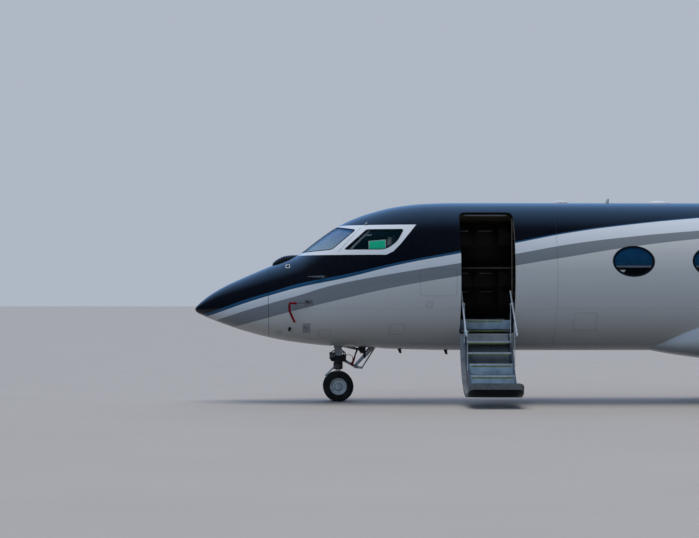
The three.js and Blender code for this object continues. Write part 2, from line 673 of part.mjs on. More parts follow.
const NACELLE_OUTER = [[0, 690], [60, 742], [320, 802], [1000, 830], [2300, 820], [3400, 740], [4500, 590]];
const NACELLE_INNER = [[4500, 572], [3300, 648], [1900, 668], [700, 634], [120, 640]];
const NACELLE_SIDES = 24;
const FAN = { station: 760, hub: 190, blades: 12, shaft: 35 };
const CORE = { front: 1010, rear: 4180, radius: 430 };

function nacelle() {
  return turned([...NACELLE_OUTER, ...NACELLE_INNER], NACELLE_SIDES);
}

function engineCore() {
  const body = turned([[CORE.front, 0], [CORE.front, 330], [1400, 420], [3000, CORE.radius], [3900, 330],
    [3900, 210], [4600, 40], [4600, 0]], 20);
  const vanes = Array.from({ length: 6 }, (_, i) =>
    box(1500, 1900, -16, 16, 300, 700).rotate([i * 60 + 30, 0, 0]));
  const duct = turned([[1300, 0], [1300, 651 - SEAT_GAP], [1900, 668 - SEAT_GAP], [2400, 661 - SEAT_GAP], [2400, 0]],
    NACELLE_SIDES);
  return join(body, join(...vanes).intersect(duct)).subtract(rod([900, 0, 0], [1200, 0, 0], boreFor(FAN.shaft), PIN_SIDES));
}

function fan() {
  const spinner = turned([[FAN.station - 420, 0], [FAN.station - 330, 90], [FAN.station - 180, 165],
    [FAN.station, FAN.hub], [FAN.station + 220, 215], [FAN.station + 220, 0]], 16);
  const shaft = rod([FAN.station, 0, 0], [1190, 0, 0], FAN.shaft, PIN_SIDES);
  const bladeShape = (r, twist, chord) => {
    const [c, s] = [Math.cos(twist), Math.sin(twist)];
    const half = chord / 2;
    const thick = 7;
    return [[-half, -thick], [-half, thick], [half, thick], [half, -thick]].map(([a, t]) =>
      new THREE.Vector3(FAN.station + 80 + a * c - t * s, a * s + t * c, r));
  };
  const one = loft([bladeShape(150, 0.45, 180), bladeShape(ENGINE.fan - 6, 1.1, 270)]);
  const blades = Array.from({ length: FAN.blades }, (_, i) => one.rotate([(360 * i) / FAN.blades, 0, 0]));
  return join(spinner, shaft, ...blades);
}

// Pylon from the fuselage side to the nacelle, a thick symmetric section
function pylon() {
  const loops = [700, 1700].map((y) => foilLoop({
    station: 18350, y, z: ENGINE.z, chord: 3300, thick: 330, symmetric: true,
  }));
  const shell = turned([[-50, 0], ...NACELLE_OUTER.map(([x, r]) => [x, r + SEAT_GAP]), [4500, 0]],
    NACELLE_SIDES)
    .translate([X(ENGINE.station), ENGINE.y, ENGINE.z]);
  return loft(loops).subtract(hull(CABIN_END - 500, 24000, SEAT_GAP)).subtract(shell);
}

// Landing gear

// Tyre and rim section about the wheel's own axle: distance from mid-tyre, radius
function wheelProfile(radius, width) {
  const half = width / 2;
  return [
    [-half * 0.55, radius * 0.5], [-half * 0.93, radius * 0.6], [-half, radius * 0.8], [-half * 0.76, radius * 0.97],
    [-half * 0.4, radius], [half * 0.4, radius], [half * 0.76, radius * 0.97], [half, radius * 0.8],
    [half * 0.93, radius * 0.6], [half * 0.55, radius * 0.5],
  ];
}

// A pair of wheels on one turning axle along Y, with its centre at the origin and a flat side down
function wheelPair({ wheel, width, spread }, axle, sides) {
  const radius = wheel / Math.cos(Math.PI / sides);
  const rim = spread / 2 + width * 0.22;
  const tyre = (side) => wheelProfile(radius, width).map(([a, r]) => [a + (side * spread) / 2, r]);
  const left = [[-rim, 0], [-rim, radius * 0.26], ...tyre(-1), [-spread / 2 + width * 0.2, axle]];
  const right = [[spread / 2 - width * 0.2, axle], ...tyre(1), [rim, radius * 0.26], [rim, 0]];
  return turned([...left, ...right], sides).rotate([180 / sides, 0, 0]).rotate([0, 0, 90]);
}

const NOSE_AXLE = 32;
const MAIN_AXLE = 55;

// Fixed part of the nose leg: cylinder, cross tube in the bay, drag brace and its lock links
function noseLeg() {
  const x = X(NOSE_GEAR.station);
  const half = NOSE_BAY.half - SEAT_GAP;
  const cylinder = rod([x, 0, 690], [x, 0, 1230], 62, 16, 70);
  const casting = slab(outline([[x - 95, 1090], [x + 130, 1090], [x + 75, 760], [x - 70, 760]]), -48, 48);
  const cross = rod([x, -half, 1140], [x, half, 1140], 42, 12);
  const elbow = [X(2790), 0, 612];
  const brace = join(rod(elbow, [X(3150), 0, 1010], 34, 8), rod(elbow, [x + 30, 0, 760], 26, 8));
  const link = rod([X(2835), 0, 590], [X(3185), 0, 960], 13, 6);
  const pin = rod([X(3150), -half, 1010], [X(3150), half, 1010], 24, 8);
  const knuckle = rod([X(2800), -45, 605], [X(2800), 45, 605], 34, 10);
  const lockArm = rod([x + 60, 0, 1000], [X(3000), 0, 850], 18, 6);
  const lamps = [-1, 1].map((side) => rod([x - 150, side * 85, 800], [x - 60, side * 85, 800], 62, 12, 40));
  const lampBar = box(x - 110, x - 50, -110, 110, 785, 815);
  return join(cylinder, casting, cross, brace, link, pin, knuckle, lockArm, ...lamps, lampBar);
}

// Steered part: collar, piston, torque links and the bored hub of the axle
function noseFork() {
  const x = X(NOSE_GEAR.station);
  const z = NOSE_GEAR.wheel;
  const collar = rod([x, 0, 560], [x, 0, 690 - SEAT_GAP], 84, 20);
  const piston = rod([x, 0, z], [x, 0, 600], 46, 16);
  const hub = rod([x, -60, z], [x, 60, z], 60, 16);
  const bore = rod([x, -70, z], [x, 70, z], NOSE_AXLE + 1.2, 20);
  const links = [rod([x - 70, 0, 600], [x - 215, 0, 455], 20, 10), rod([x - 215, 0, 455], [x - 50, 0, 290], 20, 10)];
  const tow = rod([x - 50, 0, z], [x - 120, 0, z - 10], 26, 12);
  return join(collar, piston, hub, ...links, tow).subtract(bore);
}

// Right main leg under the wing, with torque links, side stay and the bored hub of the axle
function mainLeg(wingSolid) {
  const x = X(MAIN_GEAR.station);
  const { y, wheel } = MAIN_GEAR;
  const cylinder = rod([x, y, 640], [x, y, 1400], 95, 16);
  const piston = rod([x, y, wheel], [x, y, 700], 62, 12);
  const hub = rod([x, y - 85, wheel], [x, y + 85, wheel], 95, 16);
  const bore = rod([x, y - 95, wheel], [x, y + 95, wheel], MAIN_AXLE + 1.2, 20);
  const links = [rod([x + 80, y, 680], [x + 270, y, 560], 26, 8), rod([x + 270, y, 560], [x + 75, y, wheel], 26, 8)];
  const stay = rod([x, y - 50, 1010], [x, y - 640, 1270], 40, 8);
  const drag = rod([x - 60, y, 850], [x - 520, y, 1300], 32, 8);
  return join(cylinder, piston, hub, ...links, stay, drag).subtract(bore).subtract(wingSolid.translate([0, 0, -SEAT_GAP]))
    .subtract(bellyBody(SEAT_GAP)).decompose()
    .reduce((a, b) => (a.volume() > b.volume() ? a : b));
}

// Leg door: a panel outboard of the right leg, hung on two arms
function legDoor(wingSolid) {
  const x = X(MAIN_GEAR.station);
  const y = MAIN_GEAR.y + MAIN_GEAR.spread / 2 + MAIN_GEAR.width / 2 + 60;
  const panel = slab(outline([[x - 330, 1400], [x + 330, 1400], [x + 250, 560], [x - 250, 560]], 40), y, y + 30);
  const arms = [1030].map((z) => rod([x, MAIN_GEAR.y + 94, z], [x, y + 5, z], 22, 10));
  return join(panel, ...arms).subtract(wingSolid.translate([0, 0, -SEAT_GAP]))
    .subtract(rod([x, MAIN_GEAR.y, 600], [x, MAIN_GEAR.y, 1400], 95 + SEAT_GAP + 0.3, 20))
    .decompose()
    .reduce((a, b) => (a.volume() > b.volume() ? a : b));
}

// Assembly

add("radome", radome(), NAVY);
add("fuselage_cockpit", cockpitSection(), WHITE);
add("fuselage_entry", entrySection(), WHITE);
add("fuselage_cabin", cabinBarrel(), WHITE);
add("fuselage_tail", tailCone(), WHITE);
add("cockpit_floor", floorPlate(2300, BULKHEADS.cockpit - SEAT_GAP), CARPET);
add("entry_floor", entryFloor(), CARPET);
add("cabin_floor", floorPlate(BULKHEADS.cabin, 16780), CARPET);
add("cockpit_bulkhead", partition(BULKHEADS.cockpit, BULKHEADS.thick, 330, 3250), LEATHER);
add("cabin_bulkhead", partition(BULKHEADS.cabin, BULKHEADS.thick, 330, 3250), LEATHER);
add("aft_bulkhead", partition(BULKHEADS.aft, BULKHEADS.thick, 0, 0), LEATHER);
add("instrument_panel", instrumentPanel(), BLACK);
for (const [name, side] of [["left", -1], ["right", 1]]) {
  const pilot = add(`pilot_seat_${name}`, seat(PILOT_SEAT), LEATHER);
  pilot.position.set(X(PILOT_SEAT.station), side * PILOT_SEAT.y, FLOOR);
  add(`cabin_seats_${name}`, cabinSeats(side), LEATHER);
}

const panes = {
  windshield: cockpitGlass(windshieldOpening(0.0012), 1560, 3050),
  side_window: cockpitGlass(sideWindowOpening(0.0012), 2425, 4000),
  cabin_glass: cabinGlass(),
};
for (const [name, pane] of Object.entries(panes)) {
  add(`${name}_left`, pane, GLASS);
  add(`${name}_right`, mirrored(pane), GLASS);
}

const door = new THREE.Group();
aircraft.add(door);
door.position.set(0, HINGE.y, HINGE.z);
door.rotation.x = THREE.MathUtils.degToRad(HINGE.open);
add("door_panel", doorPanel().translate([0, -HINGE.y, -HINGE.z]), WHITE, door);
add("airstair", stairs(), BARE);
for (const [name, front] of [["front", true], ["rear", false]]) {
  add(`rail_post_${name}_inner`, railPost(RAIL.inner, front), BARE);
  add(`rail_post_${name}_outer`, railPost(RAIL.outer, front), BARE);
  add(`handrail_${name}`, handrail(front), BARE);
}

const wholeWing = wing().subtract(bellyBody(SEAT_GAP)).subtract(hull(7000, 18500, SEAT_GAP));
const rightWing = wholeWing.decompose().reduce((a, b) => (a.volume() > b.volume() ? a : b));
const aileron = hingedPanel(rightWing, AILERON.inner, AILERON.outer, AILERON.radii, [0, 0, 1]);
add("wing_right", aileron.fixed, WHITE);
add("wing_left", mirrored(aileron.fixed), WHITE);
add("aileron_right", aileron.moving, WHITE);
add("aileron_left", mirrored(aileron.moving), WHITE);
add("belly_fairing", bellyBody().subtract(hull(7000, 18000, SEAT_GAP)), WHITE);

const wholeFin = loft([FIN.root, FIN_TOP].map(finLoop)).subtract(hull(CABIN_END, HULL_END, SEAT_GAP));
const rudder = hingedPanel(wholeFin, finAt(RUDDER.low, RUDDER.share), finAt(RUDDER.high, RUDDER.share),
  RUDDER.radii, [0, 1, 0]);
const halfTail = tailHalf();
const elevator = hingedPanel(halfTail, ELEVATOR.inner, ELEVATOR.outer, ELEVATOR.radii, [0, 0, 1]);
const tailplane = join(elevator.fixed, mirrored(elevator.fixed), bullet());
add("fin", rudder.fixed.subtract(tailplane.translate([0, 0, -SEAT_GAP])), WHITE);
add("rudder", rudder.moving, WHITE);
add("tailplane", tailplane, WHITE);
add("elevator_right", elevator.moving, WHITE);
add("elevator_left", mirrored(elevator.moving), WHITE);

const rightPylon = pylon();
for (const [name, side] of [["left", -1], ["right", 1]]) {
  const at = [X(ENGINE.station), side * ENGINE.y, ENGINE.z];
  add(`nacelle_${name}`, nacelle(), WHITE).position.set(...at);
  add(`engine_core_${name}`, engineCore(), STEEL).position.set(...at);
  add(`fan_${name}`, fan(), STEEL).position.set(...at);
  add(`pylon_${name}`, side > 0 ? rightPylon : mirrored(rightPylon), WHITE);
}

add("probe_ribbon_left", ribbon(), RED);
add("probe_ribbon_right", mirrored(ribbon()), RED);

add("nose_leg", noseLeg(), GREY);
add("nose_fork", noseFork(), GREY);
add("nose_wheels", wheelPair(NOSE_GEAR, NOSE_AXLE, 16), RUBBER)
  .position.set(X(NOSE_GEAR.station), 0, NOSE_GEAR.wheel);
const rightLeg = mainLeg(aileron.fixed);
const rightLegDoor = legDoor(aileron.fixed);
add("main_leg_right", rightLeg, GREY);
add("main_leg_left", mirrored(rightLeg), GREY);
add("leg_door_right", rightLegDoor, WHITE);
add("leg_door_left", mirrored(rightLegDoor), WHITE);
for (const [name, side] of [["left", -1], ["right", 1]]) {
  add(`main_wheels_${name}`, wheelPair(MAIN_GEAR, MAIN_AXLE, 18), RUBBER)
    .position.set(X(MAIN_GEAR.station), side * MAIN_GEAR.y, MAIN_GEAR.wheel);
}

export default aircraft;
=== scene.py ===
"""Looks of a large-cabin business jet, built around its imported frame.

Metres. +X runs aft, +Y to starboard, +Z up, and the ground is at Z = 0.
A station is a distance aft of the nose tip.
"""

import math

import bpy
import numpy as np
from mathutils import Matrix, Vector


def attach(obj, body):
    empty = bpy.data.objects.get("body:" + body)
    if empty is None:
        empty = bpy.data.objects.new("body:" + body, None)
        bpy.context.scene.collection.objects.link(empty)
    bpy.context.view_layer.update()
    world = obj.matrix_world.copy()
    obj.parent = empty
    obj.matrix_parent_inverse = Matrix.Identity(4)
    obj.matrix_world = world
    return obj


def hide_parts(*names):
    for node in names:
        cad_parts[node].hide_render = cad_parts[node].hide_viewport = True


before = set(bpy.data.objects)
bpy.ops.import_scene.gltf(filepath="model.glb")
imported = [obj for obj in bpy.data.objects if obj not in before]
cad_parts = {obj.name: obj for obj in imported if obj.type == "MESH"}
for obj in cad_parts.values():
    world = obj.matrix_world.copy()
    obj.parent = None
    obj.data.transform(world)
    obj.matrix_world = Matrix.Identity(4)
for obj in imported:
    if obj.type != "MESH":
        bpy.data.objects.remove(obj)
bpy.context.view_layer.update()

# Driving dimensions, the same as the frame's
LENGTH = 27.78
SKIN = 0.06
FLOOR_TOP = 1.44
RADOME_END, ENTRY_END, CABIN_END, HULL_END = 1.29, 6.2, 16.9, 26.3
DOOR_FRONT, DOOR_REAR, DOOR_BOTTOM, DOOR_TOP, DOOR_CORNER = 4.56, 5.485, 1.215, 3.278, 0.11
DOOR_GAP = 0.008
HINGE = np.array([0.0, -0.845, 1.195])
DOOR_OPEN = math.radians(119)
WINDOW_COUNT, WINDOW_FIRST, WINDOW_PITCH = 7, 7.496, 1.361
WINDOW_WIDTH, WINDOW_HEIGHT, WINDOW_Z = 0.721, 0.53, 2.428
BAY_FRONT, BAY_REAR, BAY_HALF = 2.39, 3.24, 0.165
TAIL_SKIN = 0.035

# Sign of Y and word for each side
SIDES = ((-1, "left"), (1, "right"))

# Fuselage frames: station, top, bottom, half width, height of the widest point
HULL = np.array([
    (0.000, 1.632, 1.582, 0.026, 1.607),
    (0.040, 1.678, 1.548, 0.092, 1.607),
    (0.135, 1.764, 1.503, 0.185, 1.608),
    (0.270, 1.866, 1.442, 0.287, 1.613),
    (0.535, 2.020, 1.342, 0.442, 1.637),
    (0.870, 2.173, 1.229, 0.592, 1.680),
    (1.290, 2.352, 1.119, 0.745, 1.742),
    (1.560, 2.456, 1.064, 0.830, 1.785),
    (1.800, 2.560, 1.028, 0.900, 1.825),
    (2.110, 2.790, 0.991, 0.980, 1.875),
    (2.425, 3.012, 0.963, 1.052, 1.925),
    (2.700, 3.160, 0.948, 1.108, 1.970),
    (3.050, 3.290, 0.934, 1.165, 2.020),
    (3.500, 3.400, 0.914, 1.224, 2.085),
    (4.000, 3.458, 0.899, 1.270, 2.140),
    (4.500, 3.473, 0.893, 1.295, 2.170),
    (5.200, 3.475, 0.890, 1.300, 2.180),
    (16.500, 3.475, 0.890, 1.300, 2.180),
    (17.800, 3.470, 0.940, 1.288, 2.200),
    (19.200, 3.450, 1.130, 1.225, 2.290),
    (20.800, 3.418, 1.480, 1.080, 2.450),
    (22.400, 3.380, 1.880, 0.862, 2.640),
    (24.000, 3.335, 2.290, 0.600, 2.830),
    (25.400, 3.270, 2.640, 0.350, 2.970),
    (26.300, 3.200, 2.840, 0.190, 3.020),
])


def at(station):
    """The X of a station."""
    return np.asarray(station, float) - LENGTH / 2


# Shapes are pairs: an array of points and a list of arrays of faces

def smooth_rows(table, key):
    """Rows of a table at the values in key, by a monotone cubic through the table's rows."""
    x, y = table[:, 0], table[:, 1:]
    rise = np.diff(y, axis=0) / np.diff(x)[:, None]
    slope = np.empty_like(y)
    slope[0], slope[-1] = rise[0], rise[-1]
    product = rise[:-1] * rise[1:]
    total = rise[:-1] + rise[1:]
    safe = np.where(product > 0, total, 1)
    slope[1:-1] = np.where(product > 0, 2 * product / safe, 0)
    key = np.clip(key, x[0], x[-1])
    i = np.clip(np.searchsorted(x, key, side="right") - 1, 0, len(x) - 2)
    step = (x[i + 1] - x[i])[..., None]
    t = (key - x[i])[..., None] / step
    return (
        (2 * t**3 - 3 * t**2 + 1) * y[i]
        + (t**3 - 2 * t**2 + t) * slope[i] * step
        + (3 * t**2 - 2 * t**3) * y[i + 1]
        + (t**3 - t**2) * slope[i + 1] * step
    )


def grid(points, wrap_rows=False, wrap_columns=False, cap_first=False, cap_last=False):
    """Quads over an array of points (rows, columns, 3), joined where wrapped, ends closed by a face."""
    rows, columns = points.shape[:2]
    index = np.arange(rows * columns).reshape(rows, columns)
    a = index if wrap_rows else index[:-1]
    b = np.roll(index, -1, 0) if wrap_rows else index[1:]
    if wrap_columns:
        quads = np.stack([a, np.roll(a, -1, 1), np.roll(b, -1, 1), b], -1)
    else:
        quads = np.stack([a[:, :-1], a[:, 1:], b[:, 1:], b[:, :-1]], -1)
    faces = [quads.reshape(-1, 4)]
    if cap_first:
        faces.append(index[0][::-1][None])
    if cap_last:
        faces.append(index[-1][None])
    return points.reshape(-1, 3), faces


def loft(rings):
    """A closed body through rings of points (rings, points, 3), its two ends capped."""
    return outward(grid(rings, wrap_columns=True, cap_first=True, cap_last=True))


def joined(shapes):
    """Several shapes as one."""
    points, faces, count = [], [], 0
    for shape_points, shape_faces in shapes:
        points.append(shape_points)
        faces += [block + count for block in shape_faces]
        count += len(shape_points)
    return np.concatenate(points), faces


def moved(shape, by=(0, 0, 0), scale=(1, 1, 1)):
    return shape[0] * np.asarray(scale, float) + np.asarray(by, float), shape[1]


def mirrored(shape):
    """The same shape on the other side of the centre plane, faces still outward."""
    return shape[0] * np.array([1, -1, 1]), [block[:, ::-1] for block in shape[1]]


def turned_about_x(points, angle, centre):
    """Points turned about a line along X through a centre."""
    c, s = math.cos(angle), math.sin(angle)
    turn = np.array([[1, 0, 0], [0, c, -s], [0, s, c]])
    return (points - centre) @ turn.T + centre


def around(count):
    """Angles of points spread evenly round a circle."""
    return np.linspace(0, 2 * math.pi, count, endpoint=False)


def tube(path, radius, sides=16):
    """A round section of a radius, or one radius per point, carried along a path of points."""
    path = np.asarray(path, float)
    tangent = np.gradient(path, axis=0)
    tangent /= np.linalg.norm(tangent, axis=1)[:, None]
    side = np.eye(3)[int(np.argmin(np.ptp(path, axis=0)))]
    first = np.cross(tangent, side)
    first /= np.linalg.norm(first, axis=1)[:, None]
    second = np.cross(tangent, first)
    angle = around(sides)[:, None]
    radius = np.broadcast_to(radius, len(path))[:, None, None]
    ring = first[:, None] * np.cos(angle) + second[:, None] * np.sin(angle)
    return grid(path[:, None] + radius * ring, wrap_columns=True, cap_first=True, cap_last=True)


def rod(a, b, radius, end_radius=None, sides=20):
    """A straight round bar from a to b."""
    ends = np.linspace(a, b, 2)
    return tube(ends, [radius, radius if end_radius is None else end_radius], sides)


def curve_through(points, count):
    """Points on a smooth curve through a few given points, by a monotone cubic in chord length."""
    points = np.asarray(points, float)
    length = np.concatenate([[0], np.cumsum(np.linalg.norm(np.diff(points, axis=0), axis=1))])
    return smooth_rows(np.column_stack([length, points]), np.linspace(0, length[-1], count))


def resampled(profile, count):
    """A line of 2-D points drawn smoothly through a profile."""
    return curve_through(np.column_stack([profile, np.zeros(len(profile))]), count)[:, :2]


def webbing(line, y, turn, width, half_thick, columns):
    """A strip and its length. Its middle line runs smoothly through a few points of station and height. Its Y
    and the turn of its width about the vertical are given along that line."""
    middle = resampled(np.array(line), len(turn))
    across, turn = width * np.linspace(-0.5, 0.5, columns), turn[:, None]
    points = np.empty((len(turn), columns, 3))
    points[..., 0] = at(middle[:, :1]) + across * np.cos(turn)
    points[..., 1] = np.broadcast_to(y, len(turn))[:, None] + across * np.sin(turn)
    points[..., 2] = middle[:, 1:]
    loop = np.concatenate([points - (0, half_thick, 0), points[:, ::-1] + (0, half_thick, 0)], 1)
    return loft(loop), float(np.linalg.norm(np.diff(middle, axis=0), axis=1).sum())


AXES = {"x": (0, 1, 2), "y": (1, 2, 0), "z": (2, 0, 1)}


def lathe(profile, axis, centre, sides=64, closed=True):
    """A profile of (along, radius) points turned about an axis. Closed profiles make rings."""
    profile = np.asarray(profile, float)
    angle = around(sides)
    along, across, up = AXES[axis]
    points = np.empty((len(profile), sides, 3))
    points[..., along] = profile[:, :1]
    points[..., across] = profile[:, 1:] * np.cos(angle)
    points[..., up] = profile[:, 1:] * np.sin(angle)
    return outward(grid(points + np.asarray(centre, float), wrap_rows=closed, wrap_columns=True,
                        cap_first=not closed, cap_last=not closed))


def sleeve(low, high, inner, outer, axis, centre, sides=64):
    """A plain ring between two places along an axis, or a disc where its inner radius is nothing."""
    profile = [(low, inner), (low, outer), (high, outer), (high, inner)]
    return lathe(profile, axis, centre, sides, closed=inner > 0)


def both_ways(half):
    """A profile from its first half: the other half is the same, mirrored along the axis."""
    return half + [(-along, radius) for along, radius in reversed(half)]


def outward(shape):
    """The shape with its faces turned outwards, by the sign of its volume."""
    points, faces = shape
    total = 0.0
    for block in faces:
        corner = points[block]
        fan = np.cross(corner[:, 1:-1], corner[:, 2:])
        total += np.einsum("ij,ikj->", corner[:, 0], fan)
    return shape if total > 0 else (points, [block[:, ::-1] for block in faces])


def boxes(corners):
    """Boxes from rows of (low x, low y, low z, high x, high y, high z)."""
    corners = np.atleast_2d(np.asarray(corners, float))
    pick = np.array([[0, 0, 0], [1, 0, 0], [1, 1, 0], [0, 1, 0], [0, 0, 1], [1, 0, 1], [1, 1, 1], [0, 1, 1]])
    low, high = corners[:, None, :3], corners[:, None, 3:]
    points = (low + (high - low) * pick).reshape(-1, 3)
    sides = np.array([[0, 3, 2, 1], [4, 5, 6, 7], [0, 1, 5, 4], [1, 2, 6, 5], [2, 3, 7, 6], [3, 0, 4, 7]])
    start = np.arange(len(corners))[:, None, None] * 8
    return points, [(sides + start).reshape(-1, 4)]


def prism(outline, axis, low, high):
    """An outline of 2-D points carried along an axis: (x, z) points along y, or (y, z) points along x."""
    outline = np.asarray(outline, float)
    points = np.empty((2, len(outline), 3))
    first, second = {"y": (0, 2), "x": (1, 2), "z": (0, 1)}[axis]
    points[..., first] = outline[:, 0]
    points[..., second] = outline[:, 1]
    points[0, :, "xyz".index(axis)] = low
    points[1, :, "xyz".index(axis)] = high
    return loft(points)


def rounded(corners, radii, steps=6):
    """A polygon's outline with its corners rounded, each by a curve of steps points."""
    corners = np.asarray(corners, float)
    radii = np.broadcast_to(radii, len(corners))[:, None]
    before = np.roll(corners, 1, 0) - corners
    after = np.roll(corners, -1, 0) - corners
    start = corners + radii * before / np.linalg.norm(before, axis=1)[:, None]
    end = corners + radii * after / np.linalg.norm(after, axis=1)[:, None]
    t = np.linspace(0, 1, steps)[None, :, None]
    curve = (1 - t) ** 2 * start[:, None] + 2 * t * (1 - t) * corners[:, None] + t**2 * end[:, None]
    return curve.reshape(-1, 2)


def even(outline, count):
    """A closed outline as a number of points, evenly spaced along its edge."""
    outline = np.asarray(outline, float)
    closed = np.concatenate([outline, outline[:1]])
    length = np.concatenate([[0], np.cumsum(np.linalg.norm(np.diff(closed, axis=0), axis=1))])
    key = np.linspace(0, length[-1], count, endpoint=False)
    return np.column_stack([np.interp(key, length, closed[:, i]) for i in (0, 1)])


def ellipse(centre, width, height, count=48):
    angle = around(count)
    return np.column_stack([centre[0] + width / 2 * np.cos(angle), centre[1] + height / 2 * np.sin(angle)])


# The fuselage surface

def hull_section(station):
    """Top, bottom, half width and widest height. The first 40 mm close to a round tip like a parabola."""
    station = np.asarray(station, float)
    row = smooth_rows(HULL, np.maximum(station, 0.04))
    tip = np.sqrt(np.clip(station / 0.04, 0, 1))[..., None]
    middle = row[..., 3:]
    return np.concatenate([middle + (row[..., :2] - middle) * tip, row[..., 2:3] * tip, middle], -1)


def hull_points(station, angle, offset=0.0):
    """Points on the fuselage: half an ellipse above the widest point and half of another below it."""
    top, bottom, half, widest = np.moveaxis(hull_section(station), -1, 0)
    up = np.sin(angle)
    reach = np.where(up > 0, top - widest, widest - bottom)
    y = (half + offset) * np.cos(angle)
    return np.stack([at(station) + 0 * y, y, widest + (reach + offset) * up], -1)


def hull_side(station, z, side, offset=0.0):
    """The point of the fuselage's side at a station and height."""
    top, bottom, half, widest = np.moveaxis(hull_section(station), -1, 0)
    reach = np.where(z > widest, top - widest, widest - bottom) + offset
    share = np.clip((z - widest) / reach, -1, 1)
    y = (half + offset) * np.sqrt(1 - share**2)
    return np.stack([at(station) + 0 * y, side * y, z + 0 * y], -1)


# First station at which the fuselage's section has a size
NOSE_TIP = 0.002


def hull_normal(points):
    """Outward direction of the fuselage at points on it, from the slope of its section function."""
    def level(p):
        station = np.maximum(p[:, 0] + LENGTH / 2, NOSE_TIP)
        top, bottom, half, widest = np.moveaxis(hull_section(station), -1, 0)
        reach = np.where(p[:, 2] > widest, top - widest, widest - bottom)
        return np.hypot(p[:, 1] / half, (p[:, 2] - widest) / reach)

    step = 1e-3
    slope = np.stack([level(points + axis * step) - level(points - axis * step) for axis in np.eye(3)], -1)
    return slope / np.maximum(np.linalg.norm(slope, axis=1)[:, None], 1e-12)


# Meshes and pieces

# A corner takes the fuselage's normal where the cosine between it and the face's is over the first value,
# and a face is outer skin where that of all its corners is over the second
SKIN_AGREE, FACE_AGREE = 0.97, 0.9

def mesh_object(name, shape):
    """An object from a shape, or from a list of shapes as one."""
    points, faces = joined(shape) if isinstance(shape, list) else shape
    mesh = bpy.data.meshes.new(name)
    mesh.vertices.add(len(points))
    mesh.vertices.foreach_set("co", points.astype(np.float32).ravel())
    corner = np.concatenate([block.ravel() for block in faces])
    total = np.concatenate([np.full(len(block), block.shape[1]) for block in faces])
    mesh.loops.add(len(corner))
    mesh.loops.foreach_set("vertex_index", corner.astype(np.int32))
    mesh.polygons.add(len(total))
    mesh.polygons.foreach_set("loop_start", (np.cumsum(total) - total).astype(np.int32))
    mesh.update(calc_edges=True)
    mesh.validate()
    obj = bpy.data.objects.new(name, mesh)
    bpy.context.scene.collection.objects.link(obj)
    return obj


def rows_of(items, key, width=3):
    """Vectors of a mesh's vertices or faces, as rows."""
    values = np.empty(len(items) * width, np.float32)
    items.foreach_get(key, values)
    return values.reshape(-1, width).astype(float)


def counts_of(items, key):
    """Whole numbers of a mesh's corners or faces."""
    values = np.empty(len(items), np.int32)
    items.foreach_get(key, values)
    return values


def apply_modifiers(obj):
    graph = bpy.context.evaluated_depsgraph_get()
    mesh = bpy.data.meshes.new_from_object(obj.evaluated_get(graph))
    obj.modifiers.clear()
    obj.data = mesh


def cut(obj, cutters, operation="DIFFERENCE"):
    """Cuts an object with closed shapes, keeps what lies inside them, or adds them to it."""
    tool = mesh_object("cutter", joined(cutters))
    step = obj.modifiers.new("cut", "BOOLEAN")
    step.operation = operation
    step.solver = "EXACT"
    step.object = tool
    apply_modifiers(obj)
    bpy.data.objects.remove(tool)


def shade(obj, sharp_degrees):
    mesh = obj.data
    mesh.polygons.foreach_set("use_smooth", np.ones(len(mesh.polygons), bool))
    mesh.set_sharp_from_angle(angle=math.radians(sharp_degrees))


def finish_piece(obj, material, body, nodes=(), bevel=0.0, sharp=35):
    """Gives a piece its edges, material and body, and hides the CAD nodes it stands for."""
    if bevel:
        step = obj.modifiers.new("edges", "BEVEL")
        step.width = bevel
        step.segments = 2
        step.limit_method = "ANGLE"
        step.angle_limit = math.radians(40)
        apply_modifiers(obj)
    shade(obj, sharp)
    obj.data.materials.clear()
    obj.data.materials.append(material)
    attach(obj, body)
    if nodes:
        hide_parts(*nodes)
    return obj


def piece(name, shapes, material, body="airframe", nodes=(), bevel=0.0, sharp=35):
    return finish_piece(mesh_object(name, shapes), material, body, nodes, bevel, sharp)


def clipped(name, shapes, space, material, nodes=(), bevel=0.003, body="airframe"):
    """Shapes cut to a space, such as the inside of the fuselage."""
    obj = mesh_object(name, shapes)
    cut(obj, [space], "INTERSECT")
    return finish_piece(obj, material, body, nodes, bevel)


def shade_like_hull(obj, turn_back=0.0):
    """Gives the outer skin the true normals of the fuselage, so that cut edges leave no marks."""
    mesh = obj.data
    corner = counts_of(mesh.loops, "vertex_index")
    total = counts_of(mesh.polygons, "loop_total")
    points = turned_about_x(rows_of(mesh.vertices, "co"), -turn_back, HINGE)
    normals = turned_about_x(hull_normal(points), turn_back, np.zeros(3))[corner]
    flat = np.repeat(rows_of(mesh.polygons, "normal"), total, 0)
    agree = np.einsum("ij,ij->i", flat, normals)
    custom = np.where((agree > SKIN_AGREE)[:, None], normals, flat)
    outside = np.minimum.reduceat(agree, np.cumsum(total) - total) > FACE_AGREE
    mesh.polygons.foreach_set("material_index", np.where(outside, 0, 1).astype(np.int32))
    mesh.polygons.foreach_set("use_smooth", np.ones(len(mesh.polygons), bool))
    mesh.normals_split_custom_set(custom.tolist())


def finish_skin(obj, materials, nodes=(), body="airframe", turn_back=0.0):
    """Finishes a layer of the fuselage: its outer material, then the one inside and on its edges."""
    for material in materials:
        obj.data.materials.append(material)
    shade_like_hull(obj, turn_back)
    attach(obj, body)
    if nodes:
        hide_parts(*nodes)


# Node graphs

